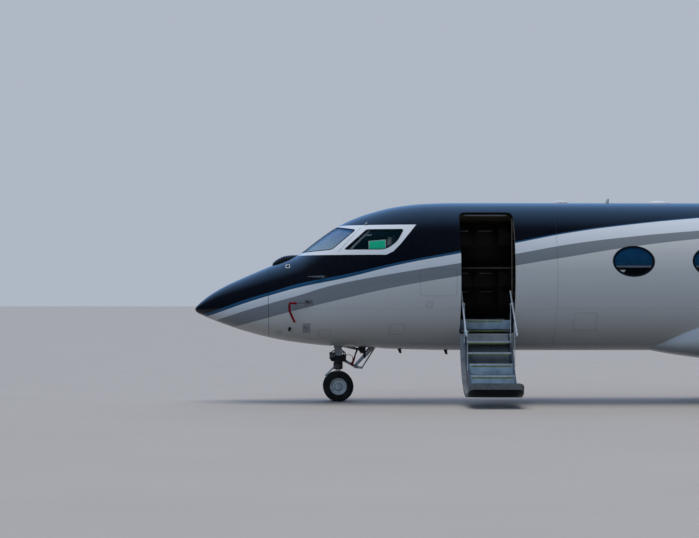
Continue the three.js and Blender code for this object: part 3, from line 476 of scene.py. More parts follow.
class Graph:
    """A node tree with short ways to add and link nodes."""

    def __init__(self, tree):
        self.tree = tree

    def add(self, kind, settings=(), **inputs):
        node = self.tree.nodes.new("ShaderNode" + kind)
        for key, value in dict(settings).items():
            setattr(node, key, value)
        for key, value in inputs.items():
            self.feed(node, int(key[1:]) if key[0] == "_" else key.replace("_", " "), value)
        return node

    def feed(self, node, key, value):
        socket = node.inputs[key]
        if isinstance(value, bpy.types.NodeSocket):
            self.tree.links.new(value, socket)
        else:
            socket.default_value = value

    def math(self, operation, a, b=0.0, clamp=False):
        return self.add("Math", {"operation": operation, "use_clamp": clamp}, _0=a, _1=b).outputs[0]

    def mix(self, share, a, b, blend="MIX"):
        node = self.add("Mix", {"data_type": "RGBA", "blend_type": blend})
        for key, value in ((0, share), (6, a), (7, b)):
            self.feed(node, key, value)
        return node.outputs[2]

    def noise(self, vector, scale, detail=3.0, roughness=0.5):
        return self.add("TexNoise", Vector=vector, Scale=scale, Detail=detail,
                        Roughness=roughness).outputs["Fac"]

    def ramp(self, value, low, high, out_low=0.0, out_high=1.0):
        node = self.add("MapRange", {"interpolation_type": "SMOOTHSTEP"})
        for key, number in ((0, value), (1, low), (2, high), (3, out_low), (4, out_high)):
            self.feed(node, key, number)
        return node.outputs[0]

    def bump(self, height, distance, strength=1.0, normal=None):
        node = self.add("Bump", Strength=strength, Distance=distance, Height=height)
        if normal is not None:
            self.feed(node, "Normal", normal)
        return node.outputs[0]


def group_tree(name, inputs, outputs):
    """An empty node group with named sockets, each row a name, a socket kind and a default."""
    tree = bpy.data.node_groups.new(name, "ShaderNodeTree")
    for label, kind, default in inputs:
        socket = tree.interface.new_socket(label, in_out="INPUT", socket_type="NodeSocket" + kind)
        if default is not None:
            socket.default_value = default
    for label, kind in outputs:
        tree.interface.new_socket(label, in_out="OUTPUT", socket_type="NodeSocket" + kind)
    graph = Graph(tree)
    start = tree.nodes.new("NodeGroupInput")
    end = tree.nodes.new("NodeGroupOutput")
    return graph, start, end


def use_group(graph, tree, **inputs):
    node = graph.tree.nodes.new("ShaderNodeGroup")
    node.node_tree = tree
    for key, value in inputs.items():
        graph.feed(node, key.replace("_", " "), value)
    return node


def new_material(name, **plain):
    """A Principled material. Plain values go on the shader's own sockets, links are added by the caller."""
    material = bpy.data.materials.new(name)
    material.use_nodes = True
    graph = Graph(material.node_tree)
    shader = material.node_tree.nodes["Principled BSDF"]
    for key, value in plain.items():
        graph.feed(shader, key.replace("_", " "), value)
    return material, graph, shader


def dress(graph, shader, node, keys=("Roughness", "Normal")):
    """Links what a surface group puts out to the shader."""
    graph.feed(shader, "Base Color", node.outputs["Color"])
    for key in keys:
        graph.feed(shader, key, node.outputs[key])


def colour(hex_code):
    """A paint colour from sRGB hex, as linear RGBA."""
    srgb = np.array([int(hex_code[i:i + 2], 16) for i in (0, 2, 4)]) / 255
    linear = np.where(srgb <= 0.04045, srgb / 12.92, ((srgb + 0.055) / 1.055) ** 2.4)
    return (*[float(v) for v in linear], 1.0)


NAVY, BLUE, WHITE, GREY, PALE = (colour(h) for h in ("060b16", "225174", "e1e6ec", "898f95", "dadad8"))


def film_group():
    """Thin dirt and haze on paint: two sizes of noise, tinting the colour and lifting the roughness."""
    graph, start, end = group_tree(
        "paint film",
        [("Vector", "Vector", None), ("Color", "Color", (1, 1, 1, 1)), ("Amount", "Float", 0.1),
         ("Roughness", "Float", 0.12)],
        [("Color", "Color"), ("Roughness", "Float"), ("Normal", "Vector")])
    vector = start.outputs["Vector"]
    broad = graph.noise(vector, 0.9, 4.0)
    streaks = graph.add("Mapping", Vector=vector, Scale=(6.0, 6.0, 0.7)).outputs[0]
    fine = graph.noise(streaks, 3.0, 5.0, 0.6)
    haze = graph.math("MULTIPLY", graph.math("MULTIPLY", broad, fine), start.outputs["Amount"])
    dust = graph.mix(haze, start.outputs["Color"], colour("8d8a84"))
    graph.feed(end, "Color", dust)
    rough = graph.math("ADD", start.outputs["Roughness"], graph.math("MULTIPLY", haze, 0.5))
    graph.feed(end, "Roughness", rough)
    peel = graph.noise(vector, 90.0, 1.0)
    graph.feed(end, "Normal", graph.bump(peel, 0.00012, 0.25))
    return graph.tree


def seam_group():
    """Skin joints: dark hairlines across the fuselage at set stations and along it at set heights."""
    graph, start, end = group_tree(
        "skin seams", [("Vector", "Vector", None), ("Color", "Color", (1, 1, 1, 1))],
        [("Color", "Color"), ("Line", "Float")])
    axes = graph.add("SeparateXYZ", Vector=start.outputs["Vector"])
    line = None
    for axis, value, width in SEAMS:
        away = graph.math("ABSOLUTE", graph.math("SUBTRACT", axes.outputs[axis], value))
        mark = graph.ramp(away, width * 0.4, width, 1.0, 0.0)
        line = mark if line is None else graph.math("MAXIMUM", line, mark)
    tinted = graph.mix(graph.math("MULTIPLY", line, 0.55), start.outputs["Color"], colour("20242a"))
    graph.feed(end, "Color", tinted)
    graph.feed(end, "Line", line)
    return graph.tree


# Axis, place and width of each skin joint
SEAMS = [
    ("X", float(at(RADOME_END)), 0.006), ("X", float(at(ENTRY_END)), 0.003), ("X", float(at(10.9)), 0.003),
    ("X", float(at(CABIN_END)), 0.004), ("X", float(at(19.6)), 0.003), ("Z", 1.62, 0.002),
]

# Lines of the paint scheme in side view: station and height of each, on both sides
PAINT_LINES = {
    "blue top": [
        (0.2, 1.54), (0.9, 1.783), (1.353, 1.917), (1.831, 2.056), (2.608, 2.209), (3.529, 2.416),
        (4.566, 2.607), (5.486, 2.766), (6.452, 2.944), (7.429, 3.074), (8.631, 3.193), (11.0, 3.36),
        (13.5, 3.5), (16.0, 3.65), (18.0, 3.87), (19.3, 4.2), (20.6, 4.7), (23.0, 5.5), (26.5, 6.65),
    ],
    "blue bottom": [
        (0.2, 1.485), (0.9, 1.723), (1.353, 1.861), (1.831, 1.99), (2.608, 2.148), (3.529, 2.374),
        (4.566, 2.568), (5.486, 2.739), (6.452, 2.922), (7.429, 3.056), (8.631, 3.176), (11.0, 3.335),
        (13.5, 3.47), (16.0, 3.615), (18.0, 3.82), (19.3, 4.14), (20.6, 4.62), (23.0, 5.42), (26.5, 6.57),
    ],
    "white bottom": [
        (0.2, 1.37), (0.9, 1.591), (1.354, 1.723), (1.831, 1.854), (2.327, 2.006), (3.451, 2.225),
        (4.562, 2.4), (5.481, 2.552), (6.445, 2.724), (7.421, 2.846), (8.621, 2.954), (11.0, 3.11),
        (13.5, 3.24), (16.0, 3.39), (18.0, 3.58), (19.3, 3.86), (20.6, 4.36), (23.0, 5.16), (26.5, 6.31),
    ],
    "grey bottom": [
        (0.2, 1.17), (0.902, 1.362), (1.42, 1.504), (1.831, 1.613), (2.606, 1.803), (3.449, 1.991),
        (4.558, 2.186), (5.475, 2.352), (6.438, 2.512), (7.413, 2.669), (8.611, 2.813), (11.0, 3.0),
        (13.5, 3.14), (16.0, 3.29), (18.0, 3.45), (19.3, 3.66), (20.6, 4.08), (23.0, 4.86), (26.5, 6.0),
    ],
}
PAINT_SPAN, PAINT_RISE, PAINT_EDGE = 26.5, 8.0, 0.0012

# White surround of the cockpit windows: its lower and upper edge and its aft edge from bottom to top
SURROUND_LOW, SURROUND_HIGH = 2.543, 3.063
SURROUND_AFT = [(3.3, 2.543), (3.42, 2.6), (3.547, 2.731), (3.823, 3.068)]


def livery_group():
    """Paint of fuselage and fin: bands between lines, each line a curve of height over station."""
    graph, start, end = group_tree("livery", [("Vector", "Vector", None)], [("Color", "Color")])
    axes = graph.add("SeparateXYZ", Vector=start.outputs["Vector"])
    station = graph.math("ADD", axes.outputs["X"], LENGTH / 2)
    share = graph.math("DIVIDE", station, PAINT_SPAN, clamp=True)
    height = axes.outputs["Z"]

    def past(value, limit):
        return graph.ramp(graph.math("SUBTRACT", value, limit), -PAINT_EDGE, PAINT_EDGE)

    def above(line):
        curve = graph.add("FloatCurve", Value=share)
        places = [(s / PAINT_SPAN, z / PAINT_RISE) for s, z in line]
        points = curve.mapping.curves[0].points
        points[0].location = (0.0, places[0][1] - 0.25 * line[0][0] / PAINT_RISE)
        for place in places[:-1]:
            points.new(*place)
        points[-1].location = places[-1]
        curve.mapping.update()
        return past(height, graph.math("MULTIPLY", curve.outputs[0], PAINT_RISE))

    paint = PALE
    for line, tone in (("grey bottom", GREY), ("white bottom", WHITE), ("blue bottom", BLUE),
                       ("blue top", NAVY)):
        paint = graph.mix(above(PAINT_LINES[line]), paint, tone)

    inside = graph.math("MULTIPLY", past(height, SURROUND_LOW), past(SURROUND_HIGH, height))
    for (s0, z0), (s1, z1) in zip(SURROUND_AFT, SURROUND_AFT[1:]):
        # Ahead of each edge: the point lies on the left of the line that climbs from bottom to top
        run, climb = s1 - s0, z1 - z0
        size = math.hypot(run, climb)
        rise = graph.math("MULTIPLY", graph.math("SUBTRACT", height, z0), run / size)
        aft = graph.math("MULTIPLY", graph.math("SUBTRACT", station, s0), climb / size)
        inside = graph.math("MULTIPLY", inside, past(rise, aft))
    graph.feed(end, "Color", graph.mix(inside, paint, WHITE))
    return graph.tree


FILM, SEAM_LINES, LIVERY = film_group(), seam_group(), livery_group()


def painted(name, base=None, amount=0.05, turn_back=False, seams=True):
    """Gloss paint under clear coat: one colour or the livery, with seams and a thin film of dirt."""
    material, graph, shader = new_material(name, Coat_Weight=0.9, Coat_Roughness=0.04,
                                           Specular_IOR_Level=0.05)
    place = graph.add("TexCoord").outputs["Object"]
    if turn_back:
        back = Matrix.Rotation(-DOOR_OPEN, 3, "X")
        shift = Vector(HINGE) - back @ Vector(HINGE)
        place = graph.add("Mapping", Vector=place, Location=shift, Rotation=(-DOOR_OPEN, 0, 0)).outputs[0]
    tone = base if base is not None else use_group(graph, LIVERY, Vector=place).outputs["Color"]
    if seams:
        tone = use_group(graph, SEAM_LINES, Vector=place, Color=tone).outputs["Color"]
    dress(graph, shader, use_group(graph, FILM, Vector=place, Color=tone, Amount=amount, Roughness=0.16))
    return material


def worn_group():
    """Handled metal or plastic: broad blotches and fine scratches, as a colour, a roughness and a normal."""
    graph, start, end = group_tree(
        "worn surface",
        [("Vector", "Vector", None), ("Color", "Color", (1, 1, 1, 1)), ("Dark", "Color", (0, 0, 0, 1)),
         ("Scale", "Float", 8.0), ("Roughness", "Float", 0.4), ("Spread", "Float", 0.15),
         ("Relief", "Float", 0.0003)],
        [("Color", "Color"), ("Roughness", "Float"), ("Normal", "Vector")])
    vector, scale = start.outputs["Vector"], start.outputs["Scale"]
    blotch = graph.noise(vector, scale, 5.0, 0.6)
    grain = graph.noise(vector, graph.math("MULTIPLY", scale, 12.0), 3.0)
    share = graph.ramp(blotch, 0.35, 0.7)
    graph.feed(end, "Color", graph.mix(share, start.outputs["Color"], start.outputs["Dark"]))
    swing = graph.math("MULTIPLY", graph.math("SUBTRACT", grain, 0.5), start.outputs["Spread"])
    graph.feed(end, "Roughness", graph.math("ADD", start.outputs["Roughness"], swing))
    relief = graph.add("Bump", Strength=0.4, Distance=start.outputs["Relief"], Height=grain)
    graph.feed(end, "Normal", relief.outputs[0])
    return graph.tree


WORN = worn_group()


def worn(name, base, dark, roughness, metallic=0.0, scale=8.0, spread=0.15, relief=0.0003, **plain):
    """A material with the worn surface group on it."""
    material, graph, shader = new_material(name, Metallic=metallic, **plain)
    place = graph.add("TexCoord").outputs["Object"]
    surface = use_group(graph, WORN, Vector=place, Color=colour(base), Dark=colour(dark), Scale=scale,
                        Roughness=roughness, Spread=spread, Relief=relief)
    dress(graph, shader, surface)
    return material


def pane_material(name, low_colour, high_colour, span, clear, roughness=0.03):
    """Window glass under clear coat, its colour changing over a span of heights, part clear to show the
    inside. On the windshield the change from a pale foot to a deep blue top is a painted reflection of the
    sky.
    """
    material, graph, shader = new_material(name, Metallic=0.0, IOR=1.5, Coat_Weight=1.0, Coat_Roughness=0.02)
    place = graph.add("TexCoord").outputs["Object"]
    height = graph.add("SeparateXYZ", Vector=place).outputs["Z"]
    hue = graph.mix(graph.ramp(height, *span), colour(low_colour), colour(high_colour))
    film = use_group(graph, FILM, Vector=place, Color=hue, Amount=0.06, Roughness=roughness)
    dress(graph, shader, film, ["Roughness"])
    haze = graph.math("MULTIPLY", graph.noise(place, 2.0, 2.0), 0.04)
    graph.feed(shader, "Alpha", graph.math("ADD", haze, 1.0 - clear))
    return material


HULL_PAINT = painted("fuselage paint")
DOOR_PAINT = painted("door paint", turn_back=True)
WING_PAINT = painted("wing paint", colour("d3d7dc"), 0.16, seams=False)
NACELLE_PAINT = painted("nacelle paint", colour("dfe2e6"), 0.14, seams=False)
BRIGHT = worn("polished alloy", "c9ccd0", "a7abb0", 0.16, 1.0, 14.0)
SATIN = worn("satin alloy", "a4acb4", "8d959d", 0.36, 1.0, 10.0)
STEEL = worn("dull steel", "7c8084", "595c60", 0.42, 1.0, 12.0)
GEAR_PAINT = worn("gear enamel", "b7bcc0", "8f9499", 0.35, 0.0, 7.0, Coat_Weight=0.3)
RUBBER = worn("black rubber", "111214", "1d1e20", 0.6, 0.0, 12.0)
TYRE = worn("tyre rubber", "1b1c1d", "2c2b29", 0.82, 0.0, 9.0, 0.1, 0.0004, Specular_IOR_Level=0.3)
STAIR_PANEL = worn("stair panel", "a9bcca", "8b9dab", 0.45, 0.0, 6.0)
RAIL_METAL = worn("anodised rail", "dbe5ee", "bccbd8", 0.3, 0.35, 14.0, Coat_Weight=0.6)
TREAD = worn("tread grip", "3c4248", "565d64", 0.7, 0.0, 30.0, relief=0.001)
GLOW_STRIP = worn("glow strip", "8f9a4e", "767f3f", 0.5, 0.0, 20.0)
# Beige trim of the aft jamb, pale also to paint the light that falls on that side
JAMB_TRIM_AND_HIGHLIGHT = worn("door jamb trim and painted highlight", "b39a80", "8d7862", 0.4, 0.0, 9.0)
LINING = worn("cabin lining", "b4aa9c", "a2988a", 0.7, 0.0, 5.0)
DARK_TRIM = worn("dark trim", "1e2124", "2c3034", 0.6, 0.0, 10.0)
RED_CLOTH = worn("red ribbon", "8f1420", "5a0d16", 0.8, 0.0, 60.0, relief=0.0008)
CABIN_GLASS = pane_material("cabin window glass", "04101c", "0a3c66", (2.25, 2.6), 0.8)
# The windshield glass is pale at its foot and deep blue at its top: a painted reflection of the sky
WINDSHIELD_SKY_GLASS = pane_material("windshield glass with painted sky", "8fb0c4", "2f6aa6", (2.6, 3.0), 0.6)
SIDE_GLASS = pane_material("side window glass", "08323a", "0a3a48", (2.6, 3.0), 0.88)
TAIL_PAINT = painted("tail paint", colour("dcdedf"), 0.1, seams=False)
FIN_PAINT = painted("fin paint", seams=False)
LIP_METAL = worn("inlet lip", "c6c9cc", "a9adb1", 0.2, 0.7, 5.0, spread=0.05)
HOT_METAL = worn("exhaust metal", "7d766c", "574f47", 0.38, 1.0, 6.0)
FAN_METAL = worn("fan titanium", "8b8f94", "74787d", 0.28, 1.0, 10.0)
SPINNER = worn("spinner", "2a2c30", "34373c", 0.35, 0.0, 8.0)
WHITE_TRIM = worn("white trim", "e6e8ea", "d2d5d8", 0.4, 0.0, 8.0)
GEAR_WHITE = worn("wheel enamel", "c9cdd0", "9ea2a6", 0.35, 0.2, 9.0)
CHROME = worn("chromed piston", "e2e4e6", "ced1d4", 0.08, 1.0, 12.0, spread=0.03, relief=0.0)
BAY_PAINT = worn("bay primer", "a8ad9d", "8c9184", 0.6, 0.0, 6.0)
LAMP_GLASS = worn("lamp glass", "dfe6ea", "c6d0d6", 0.08, 0.0, 12.0, spread=0.03, Coat_Weight=1.0)
LAMP_RED = worn("red lamp glass", "a3121a", "7d0c12", 0.1, 0.0, 12.0, spread=0.03, Coat_Weight=1.0)
LAMP_GREEN = worn("green lamp glass", "0f8a4a", "0b6a39", 0.1, 0.0, 12.0, spread=0.03, Coat_Weight=1.0)
CARPET = worn("wool carpet", "2f3033", "242528", 0.95, 0.0, 60.0, relief=0.002, Sheen_Weight=0.4)
# Walnut veneer darkened to near black: painted shade of the dim rooms behind the doorway
SHADED_VENEER = worn("walnut with painted shade", "0d0907", "080504", 0.5, 0.0, 4.0, Coat_Weight=0.08)
STONE = worn("worktop stone", "6f6a63", "4f4b46", 0.3, 0.0, 25.0)
PANEL_GREY = worn("panel paint", "3c4045", "31353a", 0.55, 0.0, 14.0)
BLACK_LEATHER = worn("glareshield leather", "131416", "1b1c1f", 0.7, 0.0, 70.0, relief=0.0006)
SCREEN = worn("display glass", "0b1118", "101a26", 0.12, 0.0, 6.0, spread=0.03, Coat_Weight=1.0)
FLEECE = worn("sheepskin", "e6e2d8", "c9c2b2", 0.95, 0.0, 45.0, relief=0.006, Sheen_Weight=0.8)
LEATHER = worn("seat leather", "a39078", "8b7861", 0.5, 0.0, 55.0, relief=0.0005)
LEATHER_TRIM = worn("seat shell", "6b5b4a", "574a3c", 0.45, 0.0, 10.0)
SENSOR_BLACK = worn("sensor window", "15171b", "22252a", 0.3, 0.0, 12.0)
JOINT_GREY = worn("panel joint", "565b62", "474c52", 0.6, 0.0, 20.0)
PALE_TRIM = worn("pale trim", "aeb3b8", "989da3", 0.45, 0.0, 9.0)
BLIND = worn("window blind", "21648f", "2a739b", 0.8, 0.0, 6.0)
DOOR_LINING = worn("door lining", "8b8f94", "777b80", 0.6, 0.0, 7.0)
# A dark sun shade, there to paint the shade seen through the left side window
SHADOWING_SUN_SHADE = worn("sun shade painting shadow", "10262c", "0c1d22", 0.8, 0.0, 40.0)
CARD_GREEN = worn("green card", "22e0ac", "1fcf9e", 0.5, 0.0, 6.0)

# Camera and studio

FOCAL_PIXELS, IMAGE_WIDTH, HORIZON_BELOW_CENTRE = 2000, 699, 34
CAMERA_PLACE, CAMERA_YAW = (-12.108, -35.078, 1.72), math.radians(1.5)


def camera_and_studio():
    camera = bpy.data.objects.new("camera", bpy.data.cameras.new("camera"))
    bpy.context.scene.collection.objects.link(camera)
    camera.location = CAMERA_PLACE
    camera.rotation_euler = (math.pi / 2, 0, -CAMERA_YAW)
    camera.data.lens = FOCAL_PIXELS * camera.data.sensor_width / IMAGE_WIDTH
    camera.data.shift_y = HORIZON_BELOW_CENTRE / IMAGE_WIDTH
    camera.data.clip_end = 1000
    bpy.context.scene.camera = camera
    bpy.context.scene.view_settings.view_transform = "Standard"

    world = bpy.data.worlds.new("studio")
    bpy.context.scene.world = world
    world.use_nodes = True
    graph = Graph(world.node_tree)
    toward = graph.add("VectorMath", {"operation": "DOT_PRODUCT"}, _1=SKY_LEAN)
    graph.feed(toward, 0, graph.add("TexCoord").outputs["Generated"])
    overhead = graph.mix(graph.ramp(toward.outputs["Value"], *SKY_SPAN), SKY_LOW, SKY_HIGH)
    backdrop = graph.add("LightPath").outputs["Is Camera Ray"]
    background = world.node_tree.nodes["Background"]
    graph.feed(background, "Color", graph.mix(backdrop, overhead, BACKDROP))
    graph.feed(background, "Strength", 1.0)

    for name, direction, strength, hue in LAMPS:
        lamp = bpy.data.lights.new(name, "SUN")
        lamp.angle, lamp.energy, lamp.color = LAMP_SPREAD, strength, hue
        obj = bpy.data.objects.new(name, lamp)
        obj.visible_glossy = False
        bpy.context.scene.collection.objects.link(obj)
        obj.rotation_euler = Vector(direction).to_track_quat("-Z", "Y").to_euler()

    floor = mesh_object("studio_floor", grid(np.array([
        [(-3000.0, -3000.0, 0.0), (3000.0, -3000.0, 0.0)],
        [(-3000.0, 3000.0, 0.0), (3000.0, 3000.0, 0.0)],
    ])))
    material, graph, shader = new_material("studio floor", Roughness=0.85)
    place = graph.add("TexCoord").outputs["Object"]
    grain = graph.noise(place, 0.4, 4.0)
    seen = graph.mix(grain, colour("aca7a2"), colour("b3aea9"))
    from_camera = graph.add("LightPath").outputs["Is Camera Ray"]
    graph.feed(shader, "Base Color", graph.mix(from_camera, FLOOR_BOUNCE, seen))
    floor.data.materials.append(material)


# Each wide soft lamp: name, direction of its light, strength and tint. Gloss mirrors only the sky.
LAMPS = [
    ("overhead", (0.1, -0.1, -1.0), 2.05, (1.0, 0.93, 0.84)),
    ("near side", (0.3, 0.8, -0.55), 1.12, (0.57, 0.75, 1.0)),
    ("far side", (-0.3, -0.8, -0.5), 0.5, (1.0, 0.88, 0.72)),
]
LAMP_SPREAD = math.radians(50)

# Sky: it brightens between two nearnesses to a direction, from a low colour to a high one. Then the backdrop
# that the camera sees, and the light that the floor sends up
SKY_LEAN, SKY_SPAN = (0.0, 0.7, 0.714), (0.5, 1.0)
SKY_LOW, SKY_HIGH = (0.006, 0.010, 0.016, 1.0), (0.23, 0.46, 0.89, 1.0)
BACKDROP, FLOOR_BOUNCE = colour("afb8c4"), colour("7d7a76")


# Fuselage

SECTION_ANGLES = around(144)


def shell(stations, outer=0.0, inner=-SKIN):
    """A tube of skin along the stations: the outer section carried aft, then the inner one carried back."""
    out = hull_points(stations[:, None], SECTION_ANGLES[None], outer)
    back = hull_points(stations[::-1, None], SECTION_ANGLES[None], inner)
    return outward(grid(np.concatenate([out, back]), wrap_rows=True, wrap_columns=True))


def spread(low, high, step):
    return np.linspace(low, high, max(2, int(round((high - low) / step)) + 1))


def side_prism(outline, near, far):
    """An outline of station and height carried across the aircraft from one Y to another."""
    outline = np.asarray(outline, float)
    return prism(np.column_stack([at(outline[:, 0]), outline[:, 1]]), "y", near, far)


def plate(corners, radius, near, far):
    """A flat block: a rounded outline of (station, height) corners, carried from one Y to another."""
    return side_prism(rounded(corners, radius), near, far)


# Cockpit window corners in side view: station, height and corner radius
WINDSHIELD = np.array([(1.80, 2.59, 0.02), (2.378, 2.636, 0.05), (2.793, 2.984, 0.05), (2.395, 3.05, 0.02)])
SIDE_WINDOW = np.array([(2.587, 2.636, 0.04), (3.29, 2.634, 0.09), (3.48, 2.765, 0.07), (3.61, 2.985, 0.06),
                        (2.975, 2.985, 0.04)])
CENTRE_POST, SIDE_WINDOW_INNER = 0.045, 0.3


def grown(corners, by):
    """Corners moved outwards by a distance, each along the two edges that meet there."""
    place = corners[:, :2]
    along = np.roll(place, -1, 0) - place
    along /= np.linalg.norm(along, axis=1)[:, None]
    out = np.column_stack([along[:, 1], -along[:, 0]])
    before = np.roll(out, 1, 0)
    mitre = (out + before) / (1 + np.einsum("ij,ij->i", out, before))[:, None]
    return np.column_stack([place + mitre * by, corners[:, 2] + max(by, -0.01)])


def grown_outline(corners, by):
    """The rounded outline of corners given as (station, height, radius), moved outwards by a distance."""
    shape = grown(corners, by)
    return rounded(shape[:, :2], shape[:, 2])


def window_prism(corners, by, inner, side):
    near, far = sorted((side * 1.5, side * (inner - by)))
    return side_prism(grown_outline(corners, by), near, far)


DOOR_OUTLINE = np.array([(DOOR_FRONT, DOOR_BOTTOM, 0.03), (DOOR_REAR, DOOR_BOTTOM, 0.03),
                         (DOOR_REAR, DOOR_TOP, DOOR_CORNER), (DOOR_FRONT, DOOR_TOP, DOOR_CORNER)])

# Stations of the hinge's knuckles, and heights of the catches on the aft side of the opening
KNUCKLES = [(4.69, 4.81), (5.235, 5.355)]
DOOR_CATCHES = (1.86, 2.1, 2.55, 2.8)


def door_prism(by):
    return side_prism(grown_outline(DOOR_OUTLINE, by), -1.6, -0.4)


def window_outline(index, by=0.0):
    middle = (WINDOW_FIRST + index * WINDOW_PITCH, WINDOW_Z)
    return ellipse(middle, WINDOW_WIDTH + 2 * by, WINDOW_HEIGHT + 2 * by)


def fuselage():
    """Radome, forward skin with its openings, cabin skin with its windows, and tail cone."""
    stations = RADOME_END * np.linspace(0.03, 1, 48) ** 2 - 0.002
    nose = mesh_object("radome_shell", loft(hull_points(stations[:, None], SECTION_ANGLES[None])))
    finish_skin(nose, (HULL_PAINT, LINING), ["radome"])

    stations = np.concatenate([spread(RADOME_END + 0.002, 3.0, 0.06),
                               spread(3.0, ENTRY_END - 0.001, 0.1)[1:]])
    forward = mesh_object("forward_skin", shell(stations))
    windows = [window_prism(corners, 0.004, inner, side) for side, _ in SIDES
               for corners, inner in ((WINDSHIELD, CENTRE_POST), (SIDE_WINDOW, SIDE_WINDOW_INNER))]
    bay = boxes([(at(BAY_FRONT), -BAY_HALF, 0.8, at(BAY_REAR), BAY_HALF, 1.3)])
    cut(forward, [*windows, bay, door_prism(0)])
    slots = [(at(a) - DOOR_GAP, -0.9, 1.16, at(b) + DOOR_GAP, -0.765, 1.23) for a, b in KNUCKLES]
    cut(forward, [boxes(slots)])
    finish_skin(forward, (HULL_PAINT, LINING), ["fuselage_cockpit", "fuselage_entry"])

    cabin = mesh_object("cabin_skin", shell(spread(ENTRY_END + 0.001, CABIN_END - 0.001, 0.4)))
    cut(cabin, [side_prism(window_outline(i), -1.6, 1.6) for i in range(WINDOW_COUNT)])
    finish_skin(cabin, (HULL_PAINT, LINING), ["fuselage_cabin"])

    tail = mesh_object("tail_skin", shell(spread(CABIN_END + 0.001, HULL_END, 0.2), inner=-TAIL_SKIN))
    finish_skin(tail, (HULL_PAINT, LINING), ["fuselage_tail"])


def patch(outline, side, out_offset, in_offset, rings=7):
    """A panel that follows the fuselage side: rings of the outline shrunk to its middle, front and back."""
    outline = np.asarray(outline, float)
    middle = outline.mean(0)
    scale = np.linspace(0.02, 1, rings)[:, None, None]
    face = middle + scale * (outline - middle)
    front = hull_side(face[..., 0], face[..., 1], side, out_offset)
    back = hull_side(face[::-1, :, 0], face[::-1, :, 1], side, in_offset)
    return loft(np.concatenate([front, back]))


def rim(outline, inner, side, out_offset, in_offset, crown=0.0):
    """A band between two outlines on the fuselage side, its middle raised by crown."""
    outline, inner = np.asarray(outline, float), np.asarray(inner, float)
    rows = [(0, in_offset), (0, out_offset), (0.5, out_offset + crown), (1, out_offset), (1, in_offset)]
    points = []
    for share, offset in rows:
        line = outline + share * (inner - outline)
        points.append(hull_side(line[:, 0], line[:, 1], side, offset))
    return outward(grid(np.stack(points), wrap_rows=True, wrap_columns=True))


def cabin_windows():
    """Pane, seal, frame behind the skin, blind and the bar at its foot, for each window."""
    for side, word in SIDES:
        panes, seals, frames, blinds, bars = [], [], [], [], []
        for i in range(WINDOW_COUNT):
            full = window_outline(i, -0.001)
            panes.append(patch(window_outline(i, -0.014), side, -0.006, -0.014))
            seals.append(rim(full, window_outline(i, -0.022), side, 0.002, -0.02, 0.003))
            frames.append(rim(full, window_outline(i, -0.04), side, -0.022, -0.064))
            blinds.append(blind(i, side))
            station, half = WINDOW_FIRST + i * WINDOW_PITCH, WINDOW_WIDTH / 2 - 0.04
            low, high = (WINDOW_Z + edge for edge in BLIND_BAR)
            bar = rounded_box(station - half, station + half, low, high, 0.01)
            bars.append(patch(bar, side, -0.031, -0.042))
        piece(f"cabin_panes_{word}", panes, CABIN_GLASS, nodes=[f"cabin_glass_{word}"])
        piece(f"cabin_window_seals_{word}", seals, RUBBER)
        for name, shapes, material in (("window_frames", frames, DARK_TRIM), ("blinds", blinds, BLIND),
                                       ("blind_bars", bars, PALE_TRIM)):
            piece(f"cabin_{name}_{word}", shapes, material)


# Lower and upper edge of the bar that ends each window's blind, from the window's middle
BLIND_BAR = (-0.105, -0.072)


def blind(index, side):
    """The upper half of a window, closed by a pleated blind whose pleats are waves of depth over height."""
    station = WINDOW_FIRST + index * WINDOW_PITCH
    height = np.linspace(WINDOW_Z + BLIND_BAR[1], WINDOW_Z + WINDOW_HEIGHT / 2 - 0.02, 40)
    share = np.clip((height - WINDOW_Z) / (WINDOW_HEIGHT / 2), -1, 1)
    half = (WINDOW_WIDTH / 2 - 0.02) * np.sqrt(1 - share**2)
    across = np.linspace(-1, 1, 13)
    s = station + half[:, None] * across
    z = np.repeat(height[:, None], 13, 1)
    pleat = 0.004 * np.cos(np.arange(40) * math.pi)[:, None]
    front = hull_side(s, z, side, -0.034 + pleat)
    back = hull_side(s, z, side, -0.040 + pleat)[:, ::-1]
    return loft(np.concatenate([front, back], 1))


def shell_part(name, low, high, outer, inner, zones, holes=()):
    """Part of a thin layer of the fuselage that lies inside some prisms and outside others."""
    stations = spread(low, high, 0.04)
    obj = mesh_object(name, shell(stations, outer, inner))
    cut(obj, zones, "INTERSECT")
    if holes:
        cut(obj, holes)
    return obj


